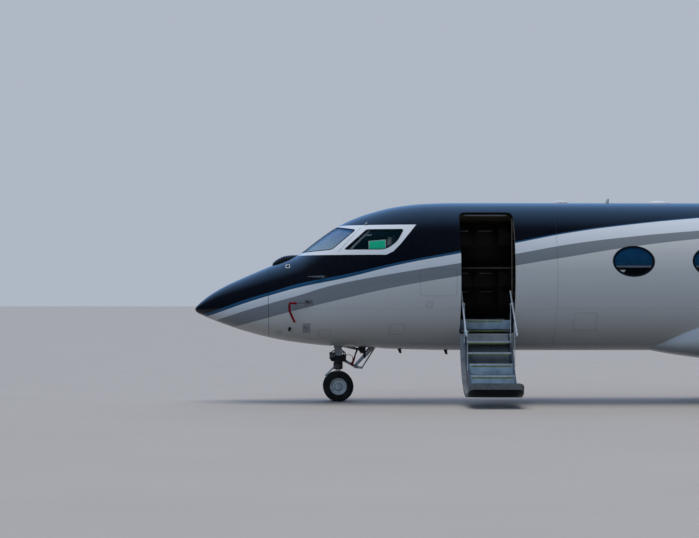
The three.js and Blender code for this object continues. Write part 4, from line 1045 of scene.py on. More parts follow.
def cockpit_windows():
    """Panes and seals in the skin, the joint and padded post between them, and what stands inside them."""
    rows = [("windshield", WINDSHIELD, CENTRE_POST, 1.6, 3.0, WINDSHIELD_SKY_GLASS),
            ("side_window", SIDE_WINDOW, SIDE_WINDOW_INNER, 2.4, 3.8, SIDE_GLASS)]
    for side, word in SIDES:
        for kind, corners, inner, low, high, glass in rows:
            pane = shell_part(f"{kind}_pane_{word}", low, high, -0.006, -0.03,
                              [window_prism(corners, -0.002, inner, side)])
            finish_skin(pane, [glass], [f"{kind}_{word}"])
            seal = shell_part(f"{kind}_seal_{word}", low, high, 0.0012, -0.034,
                              [window_prism(corners, 0.0035, inner, side)],
                              [window_prism(corners, -0.010, inner, side)])
            finish_skin(seal, [RUBBER])
        pillar = hull_side(np.linspace(2.485, 2.88, 24), np.linspace(2.60, 3.02, 24), side, 0.0004)
        piece(f"pillar_joint_{word}", tube(pillar, 0.0022, 8), DARK_TRIM)
        post = hull_side(np.linspace(2.68, 3.03, 24), np.linspace(2.62, 2.97, 24), side, -0.09)
        grip = np.array([(2.88, 2.90), (2.9, 2.885), (3.04, 2.885), (3.06, 2.90)])
        handle = hull_side(*grip.T, side, -0.11)
        piece(f"window_post_trim_{word}", [tube(post, 0.02, 12), tube(handle, 0.011, 12)], WHITE_TRIM)
    # A dark sun shade behind the right side window, which paints the shade seen through the left side window
    cloth = patch(rounded(grown(SIDE_WINDOW, 0.03)[:, :2], 0.05), 1, -0.066, -0.069)
    piece("shadowing_sun_shade_right", cloth, SHADOWING_SUN_SHADE)
    border = even(WINDOW_CARD, 48)
    piece("window_card", patch(border, -1, -0.037, -0.040), CARD_GREEN)
    edge = rim(grown_plain(border, 0.008), border, -1, -0.0365, -0.040)
    piece("window_card_edge", edge, WHITE_TRIM)


# The plain card propped inside the left side window: station and height of its corners
WINDOW_CARD = [(3.012, 2.640), (3.285, 2.650), (3.285, 2.795), (3.012, 2.775)]


# Entry door, turned open about its hinge

def open_door(shape):
    return turned_about_x(shape[0], DOOR_OPEN, HINGE), shape[1]


def turn_open(obj):
    points = turned_about_x(rows_of(obj.data.vertices, "co"), DOOR_OPEN, HINGE)
    obj.data.vertices.foreach_set("co", points.astype(np.float32).ravel())
    obj.data.update()


def doorway_ring(outer, inner, out_offset, in_offset, crown=0.0):
    """A band round the door opening, between two outlines grown from the door's."""
    lines = (grown_outline(DOOR_OUTLINE, by) for by in (outer, inner))
    return rim(*lines, -1, out_offset, in_offset, crown)


def door():
    """The door skin with its hinge, and what lines the opening it closes."""
    obj = mesh_object("door_skin", shell(spread(DOOR_FRONT - 0.06, DOOR_REAR + 0.06, 0.05)))
    cut(obj, [door_prism(-DOOR_GAP)], "INTERSECT")
    cut(obj, [boxes([(at(DOOR_FRONT), HINGE[1] + 0.015, 1.2, at(DOOR_REAR), -0.6, 1.27)])])
    turn_open(obj)
    finish_skin(obj, (DOOR_PAINT, DOOR_LINING), ["door_panel"], "entry_door", DOOR_OPEN)
    _, y, z = HINGE
    arms = []
    for a, b in KNUCKLES:
        arms.append(sleeve(at(a), at(b), 0.013, 0.022, "x", (0, y, z)))
        arms.append(open_door(boxes([(at(a) + 0.005, y - 0.014, z + 0.02, at(b) - 0.005, y + 0.008, 1.262)])))
    piece("door_hinge_arms", arms, STEEL, "entry_door", bevel=0.002)
    lugs = [rod((at(4.575), y, z), (at(5.47), y, z), 0.0115)]
    for a, b in ((4.575, 4.68), (4.82, 5.225), (5.365, 5.47)):
        lugs.append(boxes([(at(a), y - 0.012, z - 0.013, at(b), y + 0.08, z + 0.013)]))
    piece("door_hinge_lugs", lugs, STEEL, bevel=0.002)

    # A black seal over the opening's edge, carried in over the whole cut edge, then the jamb behind the
    # closed door in dark trim: both also paint the shade in the opening. The jamb is pale along its aft side,
    # which paints the light that falls there
    piece("doorway_seal", doorway_ring(0.009, -0.006, 0.004, -0.059, 0.004), RUBBER)
    jamb = doorway_ring(0.0, -0.0155, -0.067, -0.08)
    piece("doorway_shaded_jamb", jamb, DARK_TRIM, bevel=0.003)
    # The pale aft strip is beige trim and a painted highlight where light falls on the aft jamb
    aft_edge = boxes([(at(DOOR_REAR) - 0.05, -1.4, 1.62, at(DOOR_REAR) + 0.01, 0.0, 3.17)])
    trim = doorway_ring(-0.0005, -0.0152, -0.0635, -0.0669)
    clipped("doorway_aft_trim_and_highlight", trim, aft_edge, JAMB_TRIM_AND_HIGHLIGHT, bevel=0)
    catches = []
    for z in DOOR_CATCHES:
        y = float(hull_side(DOOR_REAR, np.array([z, z + 0.05]), -1, -0.09)[:, 1].max())
        catches.append((at(DOOR_REAR) - 0.0165, y - 0.006, z, at(DOOR_REAR) - 0.003, y + 0.02, z + 0.05))
    piece("doorway_catches", boxes(catches), STEEL, bevel=0.003)


TREAD_COUNT, TREAD_FIRST, TREAD_RISE, TREAD_START, TREAD_RUN = 5, 1.075, 0.185, -0.942, 0.262
STAIR_FRONT, STAIR_REAR, STAIR_WALL = 4.645, 5.4, 0.014


def airstair():
    """Treads and risers step down by the rise and out by the run, between two side walls."""
    x0, x1 = at(STAIR_FRONT) + STAIR_WALL, at(STAIR_REAR) - STAIR_WALL
    treads, grips, strips, risers, noses = [], [], [], [], []
    for i in range(TREAD_COUNT):
        z, y = TREAD_FIRST - i * TREAD_RISE, TREAD_START - i * TREAD_RUN
        outer = y - TREAD_RUN
        treads.append((x0, outer - 0.02, z - 0.026, x1, y, z - 0.004))
        risers.append((x0, outer - 0.012, z - TREAD_RISE - 0.004, x1, outer, z - 0.012))
        noses.append((x0, outer - 0.026, z - 0.03, x1, outer - 0.012, z))
        strips.append((x0 + 0.03, outer - 0.016, z - 0.052, x1 - 0.03, outer - 0.0125, z - 0.034))
        for k in range(9):
            low = y - k * 0.026
            grips.append((x0 + 0.03, low - 0.035, z - 0.006, x1 - 0.03, low - 0.023, z - 0.001))
    foot = (TREAD_START - TREAD_COUNT * TREAD_RUN - 0.04, TREAD_FIRST + 0.125 - 0.953)
    head = (TREAD_START - 0.018, TREAD_FIRST + 0.112)
    sides = rounded([head, foot, (-2.32, 0.15), (-1.9, 0.05), (-0.9, 0.5)], 0.02)
    walls = [prism(sides, "x", at(s), at(s) + STAIR_WALL) for s in (STAIR_FRONT, STAIR_REAR - STAIR_WALL)]
    space = open_door(inner_space(DOOR_FRONT, DOOR_REAR, -SKIN - 0.003))
    for name, shapes, material, nodes, bevel in (
            ("frame", [boxes(treads), boxes(risers)], STAIR_PANEL, ["airstair"], 0.002),
            ("sides", walls, SATIN, ["airstair"], 0.002), ("noses", boxes(noses), RAIL_METAL, [], 0.004),
            ("grips", boxes(grips), TREAD, [], 0), ("strips", boxes(strips), GLOW_STRIP, [], 0)):
        clipped(f"stair_{name}", shapes, space, material, nodes, bevel, "entry_door")


def inner_space(low, high, offset=-SKIN - 0.004):
    """The closed space between two stations whose side lies at an offset from the skin."""
    stations = spread(low - 0.2, high + 0.2, 0.1)
    return loft(hull_points(stations[:, None], SECTION_ANGLES[None], offset))


POST_LENGTH = 0.64

# Foot pins of the rail posts, and how far a rail runs past its inner and its outer post
RAIL_FEET = [("inner", -1.1, 1.06), ("outer", -1.75, 0.601)]
RAIL_ENDS = (0.38, 0.12)


def handrails():
    """Two folding rails: studs on the stair's side, posts that turn on them, and a tube over the posts."""
    for word, post_x, rail_x, out in (("front", at(STAIR_FRONT) - 0.0165, at(STAIR_FRONT) - 0.046, -1),
                                      ("rear", at(STAIR_REAR) + 0.0165, at(STAIR_REAR) + 0.046, 1)):
        studs = []
        for foot, y, z in RAIL_FEET:
            near = (post_x - out * 0.0245, y, z)
            studs.append(rod(near, (post_x - out * 0.0085, y, z), 0.026))
            studs.append(rod(near, (post_x + out * 0.0115, y, z), 0.0078))
            top = z + POST_LENGTH
            post = curve_through([(post_x, y, z + 0.018), (post_x, y, z + 0.3), (post_x, y, top - 0.012)], 12)
            parts = [
                tube(post, np.linspace(0.0075, 0.0065, 12)),
                sleeve(-0.0075, 0.0075, 0.009, 0.024, "x", (post_x, y, z)),
                sleeve(-0.0075, 0.0075, 0.005, 0.018, "x", (post_x, y, top)),
                rod((post_x, y, top), (post_x + out * 0.02, y, top), 0.0068),
            ]
            name = f"rail_post_{word}_{foot}"
            piece(f"{name}_bar", parts, RAIL_METAL, name, [name])
        piece(f"rail_studs_{word}", studs, STEEL, "entry_door", bevel=0.001)

        first, last = (np.array([rail_x, y, z + POST_LENGTH]) for _, y, z in RAIL_FEET)
        slope = (last - first) / np.linalg.norm(last - first)
        start, end = first - slope * RAIL_ENDS[0], last + slope * RAIL_ENDS[1]
        parts = [tube(curve_through([start, start + slope * RAIL_ENDS[1], first, last, end], 28), 0.0145)]
        for centre in (first, last):
            parts.append(lathe(both_ways([(-0.019, 0.0079), (-0.019, 0.021), (-0.012, 0.024)]), "x", centre))
        parts += [ball(start, 0.0155), ball(end, 0.0155)]
        piece(f"handrail_{word}_tube", parts, RAIL_METAL, f"handrail_{word}", [f"handrail_{word}"])


def ball(centre, radius, scale=(1, 1, 1), rows=14, sides=22):
    """An ellipsoid: a half circle of latitudes turned about Z, its poles closed."""
    lat = np.linspace(-math.pi / 2 + 0.06, math.pi / 2 - 0.06, rows)[:, None]
    angle = around(sides)
    points = np.stack([np.cos(lat) * np.cos(angle), np.cos(lat) * np.sin(angle),
                       np.repeat(np.sin(lat), sides, 1)], -1)
    return loft(np.asarray(centre, float) + radius * points * np.asarray(scale, float))


# Wings and tail

# Section of a wing or fin: chord share, upper and lower height as shares of the thickness. It is read by the
# root of the chord share, in which a round nose is smooth. A symmetric section is its upper line less a share
AEROFOIL = np.array([
    (0.0, 0.0, 0.0), (0.012, 0.16, -0.14), (0.05, 0.33, -0.27), (0.13, 0.48, -0.38), (0.28, 0.57, -0.43),
    (0.45, 0.55, -0.41), (0.62, 0.43, -0.32), (0.8, 0.25, -0.17), (1.0, 0.02, -0.02),
])
FOIL_POINTS, FOIL_THINNER = 30, 0.07
FOIL_ROOTS = np.column_stack([np.sqrt(AEROFOIL[:, 0]), AEROFOIL[:, 1:]])


def foil_outline(symmetric):
    """Upper line from nose to tail and lower line back, closer together at the round nose."""
    root = np.linspace(0, 1, FOIL_POINTS)
    table = FOIL_ROOTS.copy()
    if symmetric:
        table[:, 1] = np.where(table[:, 1] > 0.02, table[:, 1] - FOIL_THINNER, table[:, 1])
        table[:, 2] = -table[:, 1]
    height = smooth_rows(table, root)
    upper = np.column_stack([root**2, height[:, 0]])
    lower = np.column_stack([root**2, height[:, 1]])[:0:-1]
    return np.concatenate([upper, lower])


def foil_surface(rows, symmetric=False):
    """A closed surface through sections: station of the nose, y, z, chord, thickness and lean of each."""
    rows = np.asarray(rows, float)
    share, height = foil_outline(symmetric).T
    station, y, z, chord, thick, lean = (rows[:, i, None] for i in range(6))
    points = np.stack([at(station + share * chord), y - height * thick * np.sin(lean),
                       z + height * thick * np.cos(lean)], -1)
    return loft(points)


# Nose station, y, z, chord, thickness and lean of each section, and the steps between the inner ones
WING = np.array([
    (8.90, 0.900, 1.115, 6.10, 0.620, 0.0),
    (9.70, 1.600, 1.150, 5.30, 0.560, 0.0),
    (11.75, 4.300, 1.330, 3.42, 0.370, 0.0),
    (17.62, 12.200, 1.830, 1.42, 0.150, 0.0),
    (18.05, 12.620, 1.905, 1.30, 0.125, 0.45),
    (18.56, 12.930, 2.130, 1.13, 0.100, 0.95),
    (19.15, 13.090, 2.520, 0.94, 0.080, 1.25),
    (19.90, 13.135, 3.180, 0.62, 0.052, 1.42),
])
WING_STEPS, LAST_STRAIGHT = (4, 5, 13), 3


def wing_rows():
    """Straight between the inner rows, then a smooth curve up the winglet with a rounded tip."""
    inner = [WING[k] + (WING[k + 1] - WING[k]) * t for k, count in enumerate(WING_STEPS)
             for t in np.linspace(0, 1, count)[:-1]]
    outer = WING[LAST_STRAIGHT - 1:]
    length = np.concatenate([[0], np.cumsum(np.linalg.norm(np.diff(outer[:, :3], axis=0), axis=1))])
    curved = smooth_rows(np.column_stack([length, outer]), np.linspace(length[1], length[-1], 40))
    shrink = np.clip((np.arange(40) - 34) / 5.5, 0, 1)[:, None]
    curved[:, 4:5] *= np.sqrt(1 - shrink**2 * 0.98)
    return np.concatenate([inner, curved])


def panel_zone(a, b, gap, depth=3.0, height=1.6):
    """The space behind a hinge line, level with the wing, grown sideways by a gap."""
    length = np.linalg.norm(b - a)
    along = (b - a) / length
    up = np.array((0.0, 0.0, 1.0) if abs(along[2]) < 0.7 else (0.0, 1.0, 0.0))
    up = up - along * (up @ along)
    up /= np.linalg.norm(up)
    back = np.cross(along, up)
    back *= np.sign(back[0])
    corners = [(-gap, 0), (-gap, depth), (length + gap, depth), (length + gap, 0)]
    base = np.array([a + along * i + back * j for i, j in corners])
    return loft(np.stack([base - up * height / 2, base + up * height / 2]))


def hinge_nose(a, b, radii, gap):
    """The round nose of a moving panel along its hinge line, or the hollow it turns in."""
    along = (b - a) / np.linalg.norm(b - a)
    return rod(a - along * gap, b + along * gap, radii[0] + gap, radii[1] + gap, 40)


# Room between a fixed surface and the panel that moves in it
RUN_GAP = 0.008


def hinged(name, body, surface, hinge, paint, nodes):
    """A fixed surface and the moving panel cut from it along its hinge line, with the pins it turns on."""
    a, b, radii = hinge
    fixed = mesh_object(f"{name}_skin", surface)
    cut(fixed, [panel_zone(a, b, RUN_GAP)])
    cut(fixed, [hinge_nose(a, b, radii, RUN_GAP)])
    along = (b - a) / np.linalg.norm(b - a)
    pins = [rod(a - along * 0.02, a + along * 0.05, 0.014), rod(b - along * 0.05, b + along * 0.02, 0.014)]
    piece(f"{body}_skin_pins", pins, STEEL)
    finish_piece(fixed, paint, "airframe", nodes, sharp=28)
    moving = mesh_object(f"{body}_skin", surface)
    cut(moving, [panel_zone(a, b, 0.0)], "INTERSECT")
    cut(moving, [hinge_nose(a, b, radii, 0.0)], "UNION")
    finish_piece(moving, paint, body, [body], sharp=28)


def wing_point(y, share, raise_by):
    low, high = WING[2], WING[3]
    row = low + (high - low) * (y - low[1]) / (high[1] - low[1])
    return np.array([at(row[0] + row[3] * share), y, row[2] + raise_by])


AILERON = (wing_point(9.3, 0.76, 0.01), wing_point(12.0, 0.76, 0.007), (0.057, 0.038))
FIN_ROOT, FIN_TOP = np.array([(19.7, 0.0, 3.3, 5.2, 0.46, math.pi / 2),
                              (23.25, 0.0, 7.47, 3.15, 0.34, math.pi / 2)])
TAIL_Z = 7.56
TAIL = np.array([
    (23.35, 0.0, TAIL_Z, 2.95, 0.30, 0.0),
    (26.52, 4.9, TAIL_Z, 1.20, 0.11, 0.0),
    (26.72, 5.06, TAIL_Z, 1.06, 0.04, 0.0),
])


def tail_point(y, share):
    row = TAIL[0] + (TAIL[1] - TAIL[0]) * y / TAIL[1, 1]
    return np.array([at(row[0] + row[3] * share), y, TAIL_Z])


def fin_point(z, share):
    row = FIN_ROOT + (FIN_TOP - FIN_ROOT) * (z - FIN_ROOT[2]) / (FIN_TOP[2] - FIN_ROOT[2])
    return np.array([at(row[0] + share * row[3]), 0.0, z])


ELEVATOR = (tail_point(0.78, 0.7), tail_point(4.78, 0.7), (0.073, 0.03))
RUDDER = (fin_point(4.2, 0.72), fin_point(7.06, 0.72), (0.119, 0.096))


def wings_and_tail():
    """Each wing with its aileron, each half of the tailplane with its elevator, the fin with its rudder."""
    halves = (("wing", "aileron", foil_surface(wing_rows()), AILERON, WING_PAINT, "wing_paint"),
              ("tailplane", "elevator", foil_surface(tail_rows(), True), ELEVATOR, TAIL_PAINT, "composite"))
    for side, word in SIDES[::-1]:
        for name, panel, shape, (a, b, radii), paint, slot in halves:
            hinge = (a * (1, side, 1), b * (1, side, 1), radii)
            surface = shape if side > 0 else mirrored(shape)
            nodes = [f"wing_{word}" if name == "wing" else name]
            hinged(f"{name}_{word}", f"{panel}_{word}", surface, hinge, paint, nodes)
    bullet = teardrop((at(22.95), 0, TAIL_Z), 4.0, 0.19, 0.215)
    piece("tail_bullet", bullet, FIN_PAINT, nodes=["tailplane"])
    rows = FIN_ROOT + (FIN_TOP - FIN_ROOT) * np.linspace(0, 1, 12)[:, None]
    hinged("fin", "rudder", foil_surface(rows, True), RUDDER, FIN_PAINT, ["fin"])


def foil_height(share, top):
    """Height of the wing section over its chord, as a share of its thickness."""
    return smooth_rows(FOIL_ROOTS, np.sqrt(share))[..., 0 if top else 1]


def on_wing(y, share, side, top=True):
    """Points of the wing's straight part at spans and shares of the chord."""
    station, z, chord, thick = (np.interp(y, WING[1:4, 1], WING[1:4, i]) for i in (0, 2, 3, 4))
    height = z + thick * foil_height(share, top)
    return np.stack([at(station + share * chord), side * y, height], -1)


# Joints on the wing: first and last span, first and last share of the chord
UPPER_JOINTS = [
    (1.75, 9.1, 0.72, 0.72), (1.75, 1.75, 0.72, 0.99), (5.22, 5.22, 0.72, 0.99), (9.1, 9.1, 0.72, 0.99),
    (3.2, 9.0, 0.59, 0.59), (3.2, 3.2, 0.59, 0.72), (5.1, 5.1, 0.59, 0.72), (7.1, 7.1, 0.59, 0.72),
    (9.0, 9.0, 0.59, 0.72), (1.75, 12.1, 0.11, 0.11), (6.2, 6.2, 0.11, 0.59), (9.6, 9.6, 0.11, 0.74),
]
LOWER_JOINTS = [(1.75, 9.1, 0.74, 0.74), (1.75, 12.1, 0.11, 0.11), (5.22, 5.22, 0.74, 0.99),
                (9.1, 9.1, 0.74, 0.99)]
FLAP_TRACKS = (2.9, 5.2, 7.6)


def metal_nose(rows, symmetric=False, reach=0.05):
    """Polished metal over a leading edge: the nose line moved out a little, and back inside the skin."""
    rows = np.asarray(rows, float)
    root = np.linspace(-1, 1, 19) * math.sqrt(reach)
    share, way = root**2, np.sign(root)
    height = np.where(root > 0, foil_height(share, True), foil_height(share, False))
    if symmetric:
        height = way * (foil_height(share, True) - FOIL_THINNER * np.clip(share / 0.012, 0, 1))
    station, y, z, chord, thick, lean = (rows[:, i, None] for i in range(6))
    x, up = station + share * chord, height * thick
    loops = []
    for ahead, rise in ((0.0025, 0.0015), (-0.012, -0.006)):
        away = up + way * rise
        loops.append(np.stack([at(x - ahead), y - away * np.sin(lean), z + away * np.cos(lean)], -1))
    return loft(np.concatenate([loops[0], loops[1][:, ::-1]], 1))


def wicks(name, spots, body):
    """Static wicks: thin rods that trail from an edge."""
    rods = [rod(spot - (0.02, 0, 0), spot + np.array([0.11, 0, 0]), 0.004, 0.002, 8) for spot in spots]
    piece(name, rods, RUBBER, body)


def lens(name, centre, size, material):
    piece(name, ball(centre, 1.0, size), material)


def wing_fittings():
    """Joints, flap tracks, metal noses, static wicks and lamps of the wings and the tail."""
    t = np.linspace(0, 1, 25)
    for side, word in SIDES[::-1]:
        lines = []
        for joints, top in ((UPPER_JOINTS, True), (LOWER_JOINTS, False)):
            for y0, y1, share0, share1 in joints:
                path = on_wing(y0 + (y1 - y0) * t, share0 + (share1 - share0) * t, side, top)
                lines.append(tube(path, 0.0045, 6))
        piece(f"wing_joints_{word}", lines, JOINT_GREY)
        tracks = []
        for y in FLAP_TRACKS:
            nose, tail = on_wing(np.array([y, y]), np.array([0.60, 0.985]), side, top=False)
            tracks.append(teardrop(nose - (0, 0, 0.045), tail[0] - nose[0] + 0.12, 0.06, 0.10))
        piece(f"flap_tracks_{word}", tracks, WING_PAINT)
        mirror = (1, side, 1, 1, 1, side)
        piece(f"wing_nose_metal_{word}", metal_nose(wing_rows()[3:-7] * mirror), LIP_METAL)
        piece(f"tail_nose_metal_{word}", metal_nose(tail_rows()[2:-4] * mirror, True), LIP_METAL)

        flip = (1, side, 1)
        wicks(f"aileron_wicks_{word}", [wing_point(y, 1.0, 0) * flip for y in (9.8, 10.7, 11.6)],
              f"aileron_{word}")
        tips = [np.array([at(s + chord), side * y, z]) for s, y, z, chord, _, _ in WING[5:7]]
        wicks(f"winglet_wicks_{word}", tips, "airframe")
        wicks(f"elevator_wicks_{word}", [tail_point(y, 1.0) * flip for y in (1.6, 2.6, 3.6, 4.6)],
              f"elevator_{word}")
        lamp = LAMP_GREEN if side > 0 else LAMP_RED
        lens(f"wingtip_lamp_{word}", (at(18.13), side * 12.63, 1.915), (0.10, 0.05, 0.035), lamp)
        spots = on_wing(np.array([2.05, 2.3]), np.array([0.004, 0.004]), side)
        lamps = [ball(spot, 1.0, (0.05, 0.09, 0.06)) for spot in spots]
        piece(f"landing_lamps_{word}", lamps, LAMP_GLASS)
    wicks("rudder_wicks", [fin_point(z, 1.0) for z in (4.6, 5.6, 6.6)], "rudder")
    lens("tail_lamp", (at(26.92), 0, TAIL_Z), (0.05, 0.03, 0.035), LAMP_GLASS)
    lens("belly_beacon", (at(11.6), 0, 0.655), (0.09, 0.055, 0.05), LAMP_RED)
    lens("fin_beacon", (at(23.6), 0, TAIL_Z + 0.16), (0.08, 0.04, 0.045), LAMP_RED)


def tail_end():
    """The exhaust pipe in the end of the tail cone, and the plate between the pipe and the hull's section."""
    centre = np.array([at(HULL_END) - 0.012, 0.0, 3.015])
    line = [(-0.62, 0.106), (0.0, 0.106), (0.006, 0.112), (0.0, 0.118), (-0.62, 0.118)]
    parts = [lathe(line, "x", centre, 48), sleeve(-0.61, -0.6, 0.0, 0.105, "x", centre, 48)]
    piece("tail_exhaust_pipe", parts, HOT_METAL)
    angle = around(48)
    outer = hull_points(np.array([HULL_END - 0.04]), angle, -TAIL_SKIN - 0.0005)
    inner = centre + 0.119 * np.stack([0 * angle, np.cos(angle), np.sin(angle)], -1)
    rings = np.stack([outer, outer + (0.012, 0, 0), inner, inner])
    rings[2, :, 0], rings[3, :, 0] = rings[1, :, 0], rings[0, :, 0]
    piece("tail_end_plate", outward(grid(rings, wrap_rows=True, wrap_columns=True)), HOT_METAL)


def tail_rows():
    rows = [TAIL[0] + (TAIL[1] - TAIL[0]) * t for t in np.linspace(0, 1, 10)]
    t = np.linspace(0, 1, 8)[1:]
    tip = TAIL[1] + (TAIL[2] - TAIL[1]) * t[:, None]
    tip[:, 4] = TAIL[1, 4] * np.sqrt(1 - (t * 0.99) ** 2)
    return np.concatenate([rows, tip])


def teardrop(start, length, half_width, half_height, rows=48, sides=40):
    """A long ellipsoid along X, its sections closer together at the nose."""
    t = np.linspace(0.002, 0.995, rows)[:, None] ** 1.5
    radius = np.sqrt(np.clip(1 - (2 * t - 1) ** 2, 0, 1))
    angle = around(sides)
    points = np.empty((rows, sides, 3))
    points[..., 0] = start[0] + length * t
    points[..., 1] = start[1] + half_width * radius * np.cos(angle)
    points[..., 2] = start[2] + half_height * radius * np.sin(angle)
    return loft(points)


# Station, half width, bottom, top and height of the widest point
BELLY = np.array([
    (7.9, 0.42, 0.905, 1.30, 1.06),
    (8.5, 0.90, 0.80, 1.50, 1.12),
    (9.4, 1.29, 0.70, 1.64, 1.20),
    (10.6, 1.43, 0.655, 1.70, 1.23),
    (13.8, 1.44, 0.65, 1.70, 1.23),
    (15.0, 1.35, 0.69, 1.64, 1.21),
    (16.0, 1.05, 0.77, 1.48, 1.14),
    (16.8, 0.52, 0.88, 1.28, 1.06),
])


def belly():
    """The wing fairing: a rounded box section, sine and cosine of its angle raised to powers below one."""
    station = np.linspace(BELLY[0, 0], BELLY[-1, 0], 70)
    half, bottom, top, widest = np.moveaxis(smooth_rows(BELLY, station), -1, 0)[..., None]
    c, s = np.cos(around(96)), np.sin(around(96))
    reach = np.where(s > 0, top - widest, widest - bottom)
    points = np.stack([at(station)[:, None] + 0 * half * c, half * np.sign(c) * np.abs(c) ** 0.75,
                       widest + reach * np.sign(s) * np.abs(s) ** 0.85], -1)
    piece("belly_skin", loft(points), WING_PAINT, nodes=["belly_fairing"])


# Engines, each drawn about X with its inlet lip at the engine's station

ENGINE_STATION, ENGINE_Y, ENGINE_Z = 17.5, 2.23, 2.72
COWL = np.array([(0.0, 0.69), (0.018, 0.716), (0.06, 0.742), (0.16, 0.775), (0.32, 0.802), (0.6, 0.82),
                 (1.0, 0.83), (1.6, 0.829), (2.3, 0.82), (2.85, 0.789), (3.4, 0.74), (3.95, 0.671),
                 (4.5, 0.59)])
DUCT = np.array([(4.5, 0.572), (3.9, 0.618), (3.3, 0.648), (2.6, 0.664), (1.9, 0.668), (1.2, 0.648),
                 (0.7, 0.634), (0.35, 0.632), (0.12, 0.64), (0.05, 0.652), (0.014, 0.67)])
LIP_END, COWL_JOINTS = 0.2, (1.06, 3.1, 3.95)
FAN_STATION, FAN_BLADES, FAN_RADIUS = 0.76, 22, 0.617
CORE_CASE = [(1.01, 0.02), (1.01, 0.33), (1.4, 0.42), (3.0, 0.43), (3.9, 0.335), (3.92, 0.31), (3.5, 0.25),
             (3.5, 0.02)]
CORE_CONE = [(3.5, 0.0), (3.5, 0.21), (3.9, 0.205), (4.3, 0.11), (4.6, 0.03), (4.62, 0.0)]
SPINNER_LINE = [(0.34, 0.0), (0.345, 0.03), (0.39, 0.075), (0.46, 0.115), (0.58, 0.158), (0.68, 0.18),
                (0.76, 0.19), (0.98, 0.21), (0.98, 0.0)]
SPINNER_MARK = [(0.47, 0.122, 0.0), (0.53, 0.10, 0.102), (0.60, 0.02, 0.163), (0.66, -0.09, 0.153)]


def engines():
    """Each engine: cowl with its joints and inlet lip, core and vanes, fan with its spinner, and pylon."""
    for side, word in SIDES:
        centre = np.array([at(ENGINE_STATION), side * ENGINE_Y, ENGINE_Z])
        ring = np.concatenate([resampled(COWL, 60), resampled(DUCT, 50)])
        lip = ring[:, 0] <= LIP_END
        piece(f"cowl_{word}", lathe(ring[~lip], "x", centre, 120), NACELLE_PAINT,
              nodes=[f"nacelle_{word}"])
        joints = []
        for start in COWL_JOINTS:
            radius = float(np.interp(start, COWL[:, 0], COWL[:, 1]))
            joints.append(sleeve(start, start + 0.006, radius - 0.004, radius + 0.0008, "x", centre, 120))
        seam = np.linspace(*COWL_JOINTS[:2], 30)
        for way in (-1, 1):
            radius = np.interp(seam, COWL[:, 0], COWL[:, 1])
            joints.append(tube(centre + np.column_stack([seam, 0 * seam, way * radius]), 0.0035, 6))
        piece(f"cowl_joints_{word}", joints, JOINT_GREY)
        # The lip's points are the ends of the ring's list, so they are put in one run
        lip_line = np.concatenate([ring[60:][lip[60:]], ring[:60][lip[:60]]])
        piece(f"inlet_lip_{word}", lathe(lip_line, "x", centre, 120), LIP_METAL,
              nodes=[f"nacelle_{word}"])
        core = [lathe(CORE_CASE, "x", centre, 80), lathe(CORE_CONE, "x", centre, 60, closed=False)]
        node = f"engine_core_{word}"
        piece(f"{node}_case", core, HOT_METAL, nodes=[node], bevel=0.004)
        vane = boxes([(1.35, -0.006, 0.36, 1.55, 0.006, 0.655)])
        piece(f"engine_vanes_{word}", moved(about_shaft(vane, 36), centre), SATIN)
        fan = f"fan_{word}"
        blades = moved(about_shaft(fan_blade(), FAN_BLADES), centre)
        piece(f"{fan}_blades", blades, FAN_METAL, fan, [fan])
        piece(f"spinner_{word}", lathe(SPINNER_LINE, "x", centre, 60, closed=False), SPINNER, fan)
        swirl = moved(tube(curve_through(SPINNER_MARK, 24), 0.006, 8), centre)
        piece(f"spinner_mark_{word}", swirl, WHITE_TRIM, fan)
        pylon(side, word)


def about_shaft(shape, count):
    """A shape repeated evenly about the X axis."""
    turns = [2 * math.pi * k / count for k in range(count)]
    return joined([(turned_about_x(shape[0], turn, np.zeros(3)), shape[1]) for turn in turns])


def fan_blade():
    """One blade: a thin section whose chord and twist grow from hub to tip."""
    radius = np.linspace(0.17, FAN_RADIUS, 16)[:, None]
    share = (radius - radius[0]) / (radius[-1] - radius[0])
    chord, twist = 0.13 + 0.10 * share, 0.5 + 0.62 * share
    section = np.array([(-0.5, 0.0), (-0.35, 0.4), (0.0, 0.6), (0.35, 0.4),
                        (0.5, 0.0), (0.35, -0.4), (0.0, -0.6), (-0.35, -0.4)])
    a, t = section[:, 0] * chord, section[:, 1] * 0.012
    sweep = 0.05 * np.sin(share * math.pi)
    x = FAN_STATION + 0.08 + a * np.cos(twist) - t * np.sin(twist) - sweep
    y = a * np.sin(twist) + t * np.cos(twist)
    return loft(np.stack([x, y, np.repeat(radius, len(section), 1)], -1))


def pylon(side, word):
    """A symmetric section from the fuselage side into the cowl."""
    rows = [(18.35, side * y, ENGINE_Z, 3.3, 0.33, 0.0) for y in np.linspace(0.75, 1.5, 6)]
    piece(f"pylon_{word}_skin", foil_surface(rows, True), NACELLE_PAINT,
          nodes=[f"pylon_{word}"], sharp=28)


# Landing gear

def tyre_profile(radius, width):
    """Section of a tyre as (across, radius): flat tread with four grooves, round shoulders, bulged sides."""
    side = [(-0.55, 0.52), (-0.80, 0.56), (-0.95, 0.66), (-1.0, 0.78),
            (-0.96, 0.88), (-0.86, 0.95), (-0.72, 0.985)]
    groove, deep = 0.045, 0.965
    for middle in (-0.48, -0.16):
        low, high = middle - groove, middle + groove
        side += [(low, 1.0), (low, deep), (high, deep), (high, 1.0)]
    return np.array(both_ways(side)) * (width / 2, radius)


